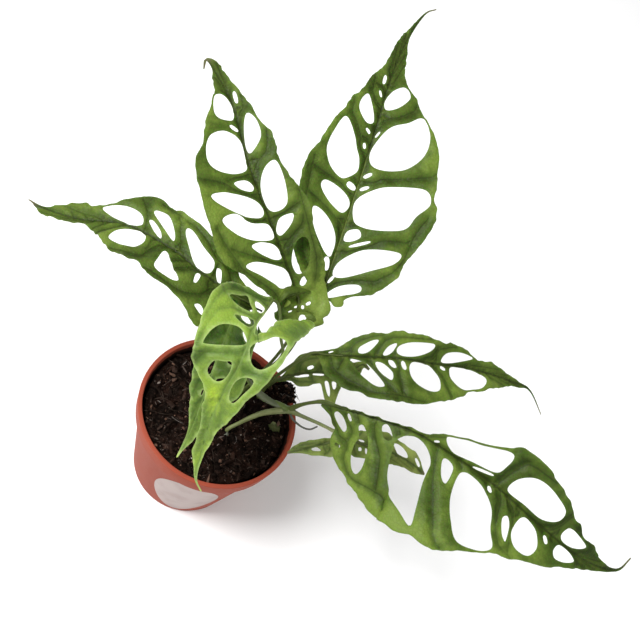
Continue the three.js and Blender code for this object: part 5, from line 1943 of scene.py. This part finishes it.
@dataclass
class Pot:
    """The thin moulded pot, spun from its profile and drilled.

    band_radius and band_height: of the banded rim's foot, which stands out on
    a ledge. neck_radius: of the wall just under it. wall, lip and floor: how
    thick these are. soil_line: from what height down the inner wall
    is darkened by soil stain and painted shade, where it is so altogether, and
    where it ends.
    """

    height: float = 105
    rim_radius: float = 60
    band_radius: float = 58.6
    band_height: float = 15.5
    ledge: float = 0.5
    neck_radius: float = 56.2
    base_radius: float = 42.5
    wall: float = 1.6
    lip: float = 3.3
    floor: float = 2.2
    drain_radius: float = 4
    drain_ring: float = 24
    drains: int = 4
    sides: int = 144
    soil_line: Triple = (106, 95, 60)

    def profile(self) -> list[Pair]:
        """Draw the wall's section, its corners eased.

        Returns:
            Radius and height round it.
        """
        foot = self.height - self.band_height
        inner = self.rim_radius - self.lip
        # Each corner's radius and height, and how far it is eased.
        corners = [
            (self.base_radius, 0.0, 1.6), (self.neck_radius, foot, 0.5),
            (self.band_radius, foot + self.ledge, 0.5), (self.rim_radius, self.height, 0.9),
            (inner, self.height, 0.9), (inner - 0.3, self.height - 2.4, 0.2),
            (inner - 0.7, self.height - 5.4, 0.2), (self.band_radius - self.lip, foot + 3, 1.2),
            (self.neck_radius - self.wall, foot - 2, 1.0), (self.base_radius - self.wall, self.floor, 1.6),
        ]
        spots = [Vector((0.0, 0.0)), *(Vector(corner[:2]) for corner in corners), Vector((0.0, self.floor))]
        line: list[Pair] = [(0.0, 0.0)]
        for before, corner, after, (_, _, ease) in zip(spots, spots[1:], spots[2:], corners):
            start, end = (
                corner + (other - corner).normalized() * min(ease, (other - corner).length / 2.2)
                for other in (before, after)
            )
            for u in (0, 0.25, 0.5, 0.75, 1):
                spot = start * (1 - u) ** 2 + corner * 2 * u * (1 - u) + end * u**2
                line.append((spot.x, spot.y))
        line.append((0.0, self.floor))
        return line

    def wall_radius(self, z: Rows) -> Rows:
        """The outside radius of the tapered wall at a height."""
        slope = (self.neck_radius - self.base_radius) / (self.height - self.band_height)
        return self.base_radius + slope * z

    def turn(self) -> Thing:
        """Spin the section round the pot's axis.

        Returns:
            The pot without its drain holes.
        """
        mesh = bpy.data.meshes.new("nursery_pot")
        line = [(r * MM, 0.0, z * MM) for r, z in self.profile()]
        mesh.from_pydata(line, [(i, i + 1) for i in range(len(line) - 1)], [])
        pot = bpy.data.objects.new("nursery_pot", mesh)
        bpy.context.scene.collection.objects.link(pot)
        with editing(pot):
            bpy.ops.mesh.spin(steps=self.sides, angle=2 * math.pi, center=(0, 0, 0), axis=(0, 0, 1))
            bpy.ops.mesh.select_all(action="SELECT")
            bpy.ops.mesh.remove_doubles(threshold=1e-5)
            bpy.ops.mesh.normals_make_consistent(inside=False)
        return pot

    def drill(self, pot: Thing) -> None:
        """Cut the drain holes and leave no slivers round them.

        Args:
            pot: the spun pot.
        """
        for index in range(self.drains):
            a = 2 * math.pi * (index + 0.5) / self.drains
            place = (self.drain_ring * math.cos(a), self.drain_ring * math.sin(a), self.floor / 2)
            bit = rod(self.drain_radius, 12, place, 32)
            cut = pot.modifiers.new("drain", "BOOLEAN")
            cut.operation = "DIFFERENCE"
            cut.solver = "EXACT"
            cut.object = bit
            apply_all(pot)
            bpy.data.objects.remove(bit)
        with editing(pot):
            bpy.ops.mesh.dissolve_degenerate(threshold=1e-6)

    def build(self) -> list[Thing]:
        """Make the pot and dress it.

        Returns:
            The pot.
        """
        pot = self.turn()
        self.drill(pot)
        places = np.array([v.co for v in pot.data.vertices]) / MM
        radius, z = np.hypot(places[:, 0], places[:, 1]), places[:, 2]
        band = self.height - self.band_height + self.ledge
        outer = np.where(z < band, self.wall_radius(z), self.band_radius)
        bare_from, soiled, low = self.soil_line
        # The inner wall is darkened by soil stain and painted shade from this height down.
        store(pot.data, "soiled", (1 - rise(z, soiled, bare_from)) * (radius < outer - 1) * (z > low))
        round_off(pot, 32)
        return [settle(pot, "pot", Finish.PLASTIC)]


@dataclass
class Label:
    """The bare label stuck on the pot's wall, a thin sheet with rounded sides.

    pot: the pot it is on. middle: its place, in degrees round the wall and in
    height. half: half its width, in degrees, and half its height. power: how
    square it is. sunk and stands: its back and its face from the wall. rings
    and sectors: how finely it is cut.
    """

    pot: Pot
    middle: Pair = (-73, 46)
    half: Pair = (29, 40)
    power: float = 1.9
    sunk: float = 0.08
    stands: float = 0.16
    rings: int = 16
    sectors: int = 112

    def layer(self, off: float) -> Rows:
        """Lay one side of the sheet.

        Args:
            off: how far it is from the wall.

        Returns:
            Its places, from the middle outwards.
        """
        turn = np.linspace(0, 2 * math.pi, self.sectors, endpoint=False)
        rim = np.stack([np.cos(turn), np.sin(turn)], axis=1)
        rim *= (np.abs(rim) ** self.power).sum(1, keepdims=True) ** (-1 / self.power)
        share = np.linspace(0, 1, self.rings + 1)[1:, None, None]
        spots = np.vstack([[(0, 0)], (share * rim).reshape(-1, 2)])
        degrees, z = (np.array(self.middle) + np.array(self.half) * spots).T
        angle, radius = np.radians(degrees), self.pot.wall_radius(z) + off
        return np.stack([radius * np.cos(angle), radius * np.sin(angle), z], axis=1)

    def build(self) -> list[Thing]:
        """Make the label and dress it.

        Returns:
            The label.
        """
        faces: list[Face] = []
        for index in range(self.sectors):
            after = (index + 1) % self.sectors
            faces.append((0, 1 + index, 1 + after))
            for start in range(1, 1 + (self.rings - 1) * self.sectors, self.sectors):
                a, b = start + index, start + after
                faces.append((a, a + self.sectors, b + self.sectors, b))
        label = Shell.between(self.layer(self.stands), self.layer(-self.sunk), faces, {}).object("bare_label")
        round_off(label, 40)
        return [settle(label, None, Finish.LABEL)]


# The soil.

# Places (x, y) on the soil, and its hollow's middle, width and depth.
CLUMP = (35, 43.5)
MOSS = (41.7, 17.0)
VINE_FOOT = (13.4, -9)
HOLLOW = (24, 20, 10, 6.5)


@dataclass
class Scatter:
    """Many small bits of one kind strewn over the soil, joined in one piece.

    count and size: how many, and from how small to how large. stretch: their
    shape. stand: how far off the soil they stand, as a share of their size.
    centre and reach: where they lie.
    """

    name: str
    finish: Finish
    count: int
    size: Pair
    stretch: Triple
    stand: float
    seed: int
    centre: Pair = (0, 0)
    reach: float = 53.4

    def bit(self, rng: random.Random, size: float) -> Shell:
        """Shape one rough bit about the origin.

        Args:
            rng: the source of chance.
            size: how wide it is.

        Returns:
            The bit.
        """
        points = list(np.array([(1, 0, 0), (-1, 0, 0), (0, 1, 0), (0, -1, 0), (0, 0, 1), (0, 0, -1)], float))
        faces = [(0, 2, 4), (2, 1, 4), (1, 3, 4), (3, 0, 4), (2, 0, 5), (1, 2, 5), (3, 1, 5), (0, 3, 5)]
        split: dict[tuple[int, int], int] = {}
        fine: list[Face] = []
        for a, b, c in faces:
            mids = []
            for p, q in ((a, b), (b, c), (c, a)):
                key = (min(p, q), max(p, q))
                if key not in split:
                    split[key] = len(points)
                    points.append(unit((points[p] + points[q])[None])[0])
                mids.append(split[key])
            ab, bc, ca = mids
            fine += [(a, ab, ca), (ab, b, bc), (ca, bc, c), (ab, bc, ca)]
        rough = np.array([p * rng.uniform(0.6, 1.15) for p in points])
        stretch = [part * rng.uniform(0.6, 1.4) for part in self.stretch]
        return Shell(rough * np.array(stretch) * size / 2, fine, {})

    def strew(self, ground: Ground) -> list[Shell]:
        """Lay all the bits.

        Args:
            ground: the soil's top.

        Returns:
            The bits in their places.
        """
        rng = random.Random(self.seed)
        made = []
        while len(made) < self.count:
            spot = ground.pick(rng, self.centre, self.reach)
            if spot is None:
                continue
            place, normal = spot
            low, high = self.size
            size = low + (high - low) * rng.random() ** 2
            bit = self.bit(rng, size)
            lean = normal.to_track_quat("Z", "Y").to_matrix()
            spin = Matrix.Rotation(rng.uniform(0, math.tau), 3, "Z")
            tilt = Matrix.Rotation(rng.uniform(-0.6, 0.6), 3, "X")
            turn = np.array(lean @ spin @ tilt)
            bit.places = bit.places @ turn.T + np.array(place + normal * size * self.stand)
            bit.values["shade"] = np.full(len(bit.places), rng.random())
            made.append(bit)
        return made

    def build(self, ground: Ground) -> Thing:
        """Make the bits and dress them.

        Args:
            ground: the soil's top.

        Returns:
            The piece that they are joined in.
        """
        piece = Shell.joined(self.strew(ground)).object(self.name)
        round_off(piece, 50)
        return settle(piece, None, self.finish)


@dataclass
class Fibres(Scatter):
    """Thin curved fibres and rootlets lying on the soil; thin is their radius."""

    thin: float = 0.16

    def bit(self, rng: random.Random, size: float) -> Shell:
        """Bend one fibre, lying roughly flat.

        Args:
            rng: the source of chance.
            size: how long it is.

        Returns:
            The fibre.
        """
        bow, lift = rng.uniform(-0.16, 0.16) * size, rng.uniform(0.0, 0.1) * size
        wave = rng.uniform(-0.06, 0.06) * size
        path = [
            (-size / 2, 0, -0.4), (-size / 5, bow * 0.8 + wave, lift * 0.8),
            (size / 5, bow - wave, lift), (size / 2, 0, -0.5),
        ]
        thin = self.thin * rng.uniform(0.6, 1.5)
        made = limb(path, (thin, thin * 1.15, thin * 0.7), sides=5, step=size / 7)
        made.values.pop("stalk")
        return made


def hollow(points: Rows) -> Rows:
    """How deep in the soil's hollow each place (x, y) lies, from 0 to 1; the hollow's colour is darkened with
    painted shade.
    """
    x, y, wide, deep = HOLLOW
    return 1 - rise(np.hypot((points[:, 0] - x) / wide, (points[:, 1] - y) / deep), 0.6, 1.2)


class Ground:
    """The top of the soil, for laying things on."""

    def __init__(self, soil: Thing) -> None:
        """Read the faces of the finished soil."""
        places = [v.co / MM for v in soil.data.vertices]
        self.tree = BVHTree.FromPolygons(places, [tuple(p.vertices) for p in soil.data.polygons])

    def under(self, x: float, y: float) -> tuple[Vector, Vector] | None:
        """The place on the soil below (x, y) and its normal."""
        place, normal, _, _ = self.tree.ray_cast(Vector((x, y, 160)), Vector((0, 0, -1)))
        return None if place is None else (place, normal)

    def pick(self, rng: random.Random, centre: Pair, reach: float) -> tuple[Vector, Vector] | None:
        """Try a chance place on the soil.

        Args:
            rng: the source of chance.
            centre: its middle (x, y).
            reach: how far from there it may be.

        Returns:
            The place and its normal, or None in the hollow.
        """
        r = reach * math.sqrt(rng.random())
        a = rng.uniform(0, math.tau)
        spot = (centre[0] + r * math.cos(a), centre[1] + r * math.sin(a))
        if hollow(np.array([spot]))[0] > 0.15:
            return None
        return self.under(*spot)


@dataclass
class Soil:
    """The potting mix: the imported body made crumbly, and the bits on it.

    voxel: how fine its skin is. fine_above: from what height up it is broken
    up. clods: the height and the size of its lumps. ridges: the same for its
    crests, and how far they are let in. near_wall: the radii over which it
    calms down, and over_rim: the heights over which it does so no more. heap:
    the heights over which it grows rougher. bank: by how much it rises to the
    wall, over the radii bank_foot, up to the heights bank_top. plug: the radius
    and the depth of what fills a stalk's hole. sunk: how deep its hollow is.
    """

    top: float = 97
    voxel: float = 1.35
    fine_above: float = 91
    clods: tuple[Pair, ...] = ((1.6, 9), (2.5, 4.6), (1.5, 2.2))
    ridges: Triple = (1.6, 3.1, 0.6)
    near_wall: Pair = (50.5, 53.5)
    over_rim: Pair = (104, 107)
    heap: Pair = (101, 105)
    bank: float = 2.6
    bank_foot: Pair = (43, 53)
    bank_top: Pair = (99, 102)
    plug: Pair = (3.6, 20)
    sunk: float = 6

    def body(self) -> Thing:
        """Copy the soil's own body, fill its stalk holes and break its top up.

        Returns:
            The soil.
        """
        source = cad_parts["soil"]
        soil = bpy.data.objects.new("potting_mix", source.data.copy())
        bpy.context.scene.collection.objects.link(soil)
        soil.matrix_world = source.matrix_world.copy()
        radius, depth = self.plug
        feet = [leaf.stalk.path[0] for leaf in LEAVES if leaf.stalk.root is Root.SOIL]
        plugs = [rod(radius, depth, (x, y, self.top - depth / 2), 16) for x, y, _ in [*feet, VINE_PATH[0]]]
        choose(*plugs, soil)
        bpy.ops.object.join()
        with editing(soil):
            bpy.ops.mesh.remove_doubles(threshold=1e-6)
        reskin(soil, self.voxel)
        with editing(soil):
            bpy.ops.mesh.select_all(action="DESELECT")
        for polygon in soil.data.polygons:
            polygon.select = polygon.center.z > self.fine_above * MM
        with editing(soil, everything=False):
            bpy.ops.mesh.subdivide(number_cuts=1)
        return soil

    def roughen(self, soil: Thing) -> None:
        """Push the top up and down into crumbs and hollows, less at the wall.

        Args:
            soil: the soil.
        """
        mesh = soil.data
        places = np.array([v.co for v in mesh.vertices]) / MM
        normals = np.array([v.normal for v in mesh.vertices])
        radius, z = np.hypot(places[:, 0], places[:, 1]), places[:, 2].copy()
        wall = rise(radius, *self.near_wall) * (1 - rise(z, *self.over_rim))
        upper = rise(z, self.fine_above, self.fine_above + 3)
        share = upper * (1 - 0.75 * wall) * (1 + 0.5 * rise(z, *self.heap))
        chosen = np.flatnonzero(share > 0)
        near = places[chosen]
        height, size, let_in = self.ridges
        push = height * np.abs(wander(near, size, 4)) - let_in
        for seed, (height, size) in enumerate(self.clods, 1):
            push += height * wander(near, size, seed)
        places[chosen] += normals[chosen] * (push * share[chosen])[:, None]
        bank = self.bank * rise(radius, *self.bank_foot) * (1 - rise(z, *self.bank_top))
        places[chosen, 2] += bank[chosen]
        sunk = hollow(places) * rise(places[:, 2], self.fine_above, self.fine_above + 3)
        places[:, 2] -= self.sunk * sunk
        # The hollow is sunk, and its colour is darkened with painted shade by this value.
        store(mesh, "hollow", sunk * 0.9)
        mesh.vertices.foreach_set("co", (places * MM).astype(np.float32).ravel())
        mesh.update()

    def build(self) -> list[Thing]:
        """Make the soil and all that lies on it, and dress them.

        Returns:
            The pieces.
        """
        soil = self.body()
        self.roughen(soil)
        round_off(soil, 60)
        settle(soil, "soil", Finish.SOIL)
        ground = Ground(soil)
        kinds = (
            Scatter("soil_crumbs", Finish.CRUMB, 1500, (0.7, 3.6), (1, 0.7, 0.5), 0.02, 3),
            Scatter("bark_chips", Finish.BARK, 190, (2.6, 11), (1, 0.34, 0.24), 0.06, 5),
            Scatter("grey_flakes", Finish.FLAKE, 80, (1.4, 5.6), (1, 0.34, 0.14), 0.12, 21),
            Scatter("clump_crumbs", Finish.CRUMB, 260, (0.8, 4.2), (1, 0.8, 0.7), 0.2, 13, CLUMP, 15),
            Scatter("perlite_grains", Finish.PERLITE, 22, (0.5, 1.2), (1, 0.9, 0.8), 0.2, 7),
            Scatter("moss_scrap", Finish.MOSS, 9, (4.2, 7.6), (1, 0.9, 0.4), 0.3, 15, MOSS, 2.6),
            Fibres("coir_fibres", Finish.FIBRE, 190, (4.0, 15.0), (1, 1, 1), 0.04, 9, thin=0.13),
            Fibres("long_fibres", Finish.FIBRE, 16, (12.0, 21.0), (1, 1, 1), 0.05, 23, (-26, -8), 20, 0.2),
            Fibres("white_root", Finish.PALE_ROOT, 4, (3.4, 5.0), (1, 1, 1), 0.3, 19, VINE_FOOT, 1.6, 0.24),
            Fibres("clump_fibres", Finish.FIBRE, 40, (4.0, 12.0), (1, 1, 1), 0.05, 17, CLUMP, 14),
        )
        return [soil, *(kind.build(ground) for kind in kinds)]


# The stem.

VINE_PATH = ((13, -6, 97), (17, -1, 106), (22, 5, 113), (29, 12, 119), NODE)
BRANCH_PATH = (NODE, (53, 20, 130), (66, 20, 134.5), FAR_NODE)
ROOT_PATH = (
    (44, 20, 124), (48, 18.6, 121.6), (52.5, 18.2, 120.4), (58, 18.8, 119), (63.5, 21.2, 118.6),
    (67, 25.6, 120.6),
)
SHEATH_PATH = ((16, -1.5, 106.4), (22, 4.6, 114.2), (29, 11.6, 120.2), (37.6, 18.4, 125.4))
FAR_SHEATH_PATH = ((38, 19, 127.6), (30, 14.6, 132), (21, 11, 137), (12, 9, 143), (3, 9.5, 150))


@dataclass
class Vine:
    """The creeping stem with its two nodes, its sheaths and its aerial root.

    voxel: how fine its skin is. stem, branch, sheath, far_sheath and root: the
    radii of each along its path. knob: a node's size as a share of its radius.
    """

    voxel: float = 0.4
    stem: tuple[float, ...] = (2.0, 1.5, 1.5, 1.9, 2.3, 2.6)
    branch: tuple[float, ...] = (2.4, 1.5, 1.35, 1.35, 2.0)
    sheath: tuple[float, ...] = (0.3, 1.2, 1.7, 2.1)
    far_sheath: tuple[float, ...] = (0.8, 2.2, 2.7, 2.0, 0.8)
    root: tuple[float, ...] = (0.9, 0.78, 0.7, 0.62)
    knob: float = 0.93

    def swell(self, stem: Thing, centre: Triple, radius: float) -> None:
        """Add a node's knob to the stem.

        Args:
            stem: the stem.
            centre: the node's middle.
            radius: its radius.
        """
        deselect()
        bpy.ops.mesh.primitive_uv_sphere_add(
            segments=20, ring_count=12, radius=radius * self.knob * MM, location=[v * MM for v in centre]
        )
        choose(bpy.context.object, stem)
        bpy.ops.object.join()

    def trim(self, name: str, path: Sequence[Triple], radii: Sequence[float], finish: Finish) -> Thing:
        """Make one thin limb that lies on the stem, a piece of its own.

        Args:
            name: its name.
            path: points of its middle line.
            radii: its radii along the path.
            finish: its finish.

        Returns:
            The limb.
        """
        piece = limb(path, radii, sides=14, step=0.8).object(name)
        round_off(piece, 60)
        return settle(piece, None, finish)

    def build(self) -> list[Thing]:
        """Make the stem and what lies on it, and dress them.

        Returns:
            The pieces.
        """
        limbs = [
            limb(rooted(VINE_PATH), self.stem, sides=16, step=1.2),
            limb(BRANCH_PATH, self.branch, sides=14, step=1.0),
        ]
        stem = Shell.joined(limbs).object("creeping_stem")
        self.swell(stem, NODE, NODE_RADIUS)
        self.swell(stem, FAR_NODE, FAR_NODE_RADIUS)
        reskin(stem, self.voxel, soften=4)
        round_off(stem, 60)
        return [
            settle(stem, "vine", Finish.STEM),
            self.trim("vine_sheath", SHEATH_PATH, self.sheath, Finish.SHEATH),
            self.trim("stalk_sheath", FAR_SHEATH_PATH, self.far_sheath, Finish.GREY_SHEATH),
            self.trim("aerial_root", ROOT_PATH, self.root, Finish.AERIAL_ROOT),
        ]


# The studio.


@dataclass(frozen=True)
class Lamp:
    """A soft square lamp, its places and width in metres, its power in watts."""

    name: str
    place: Triple
    width: float
    power: float
    aim: Triple = (0, 0.1, 0.15)

    def hang(self) -> None:
        """Hang the lamp and point it at its aim."""
        data = bpy.data.lights.new(self.name, "AREA")
        data.shape = "SQUARE"
        data.size = self.width
        data.energy = self.power
        lamp = bpy.data.objects.new(self.name, data)
        bpy.context.scene.collection.objects.link(lamp)
        lamp.location = self.place
        lamp.rotation_euler = (Vector(self.aim) - Vector(self.place)).to_track_quat("-Z", "Y").to_euler()


@dataclass
class Studio:
    """The floor, the light and the camera.

    place: where the camera stands. right, up and ahead: its axes. focal: its
    focal length in pixels of a frame `frame_width` wide. sensor: how wide its
    film is. air: how strong the light from all round is. lamps: the others.
    floor_width: in metres.
    """

    place: Triple = (0.0, -316.580, 682.886)
    right: Triple = (0.82836702, 0.4273915, 0.3621389)
    up: Triple = (-0.55894925, 0.67353327, 0.48366174)
    ahead: Triple = (0.03719968, 0.6030667, -0.7968229)
    focal: float = 886
    frame_width: float = 640
    sensor: float = 36
    air: float = 0.44
    lamps: tuple[Lamp, ...] = (
        Lamp("key", (-1.0, -0.5, 1.7), 0.9, 59), Lamp("fill", (1.4, -0.9, 1.5), 1.6, 13)
    )
    floor_width: float = 24

    def camera(self) -> None:
        """Stand the camera at the plant's viewing angle."""
        data = bpy.data.cameras.new("viewpoint")
        data.sensor_fit = "HORIZONTAL"
        data.sensor_width = self.sensor
        data.lens = self.focal * self.sensor / self.frame_width
        data.clip_start, data.clip_end = 0.01, 100
        camera = bpy.data.objects.new("viewpoint", data)
        bpy.context.scene.collection.objects.link(camera)
        turn = Matrix((self.right, self.up, tuple(-v for v in self.ahead))).transposed()
        camera.matrix_world = Matrix.Translation(Vector(self.place) * MM) @ turn.to_4x4()
        bpy.context.scene.camera = camera

    def floor(self) -> None:
        """Lay a plain pale floor."""
        deselect()
        bpy.ops.mesh.primitive_plane_add(size=self.floor_width, location=(0, 0, 0))
        floor = bpy.context.object
        floor.name = "studio_floor"
        graph = Graph("studio_white")
        roughness = 0.85 + 0.02 * graph.cloud(graph.position(), 3, 2)
        floor.data.materials.append(graph.finish({"Base Color": (0.93, 0.93, 0.93), "Roughness": roughness}))

    def light(self) -> None:
        """Light the plant softly from above and in front."""
        world = bpy.data.worlds.new("studio_air")
        world.use_nodes = True
        back = world.node_tree.nodes["Background"]
        back.inputs["Color"].default_value = (1, 1, 1, 1)
        back.inputs["Strength"].default_value = self.air
        bpy.context.scene.world = world
        for lamp in self.lamps:
            lamp.hang()
        view = bpy.context.scene.view_settings
        view.view_transform = "Standard"
        view.look = "None"
        view.exposure = 0
        view.gamma = 1

    def build(self) -> None:
        """Set the whole studio up."""
        self.floor()
        self.light()
        self.camera()


def main() -> None:
    """Build the plant piece by piece and set the studio up."""
    logging.basicConfig(level=logging.INFO, format="%(name)s %(message)s")
    Studio().build()
    pot = Pot()
    for part in (pot, Label(pot), Soil(), Vine(), *map(Leaf, LEAVES)):
        for piece in part.build():
            LOG.info("%s: %d faces", piece.name, len(piece.data.polygons))


if __name__ == "__main__":
    main()
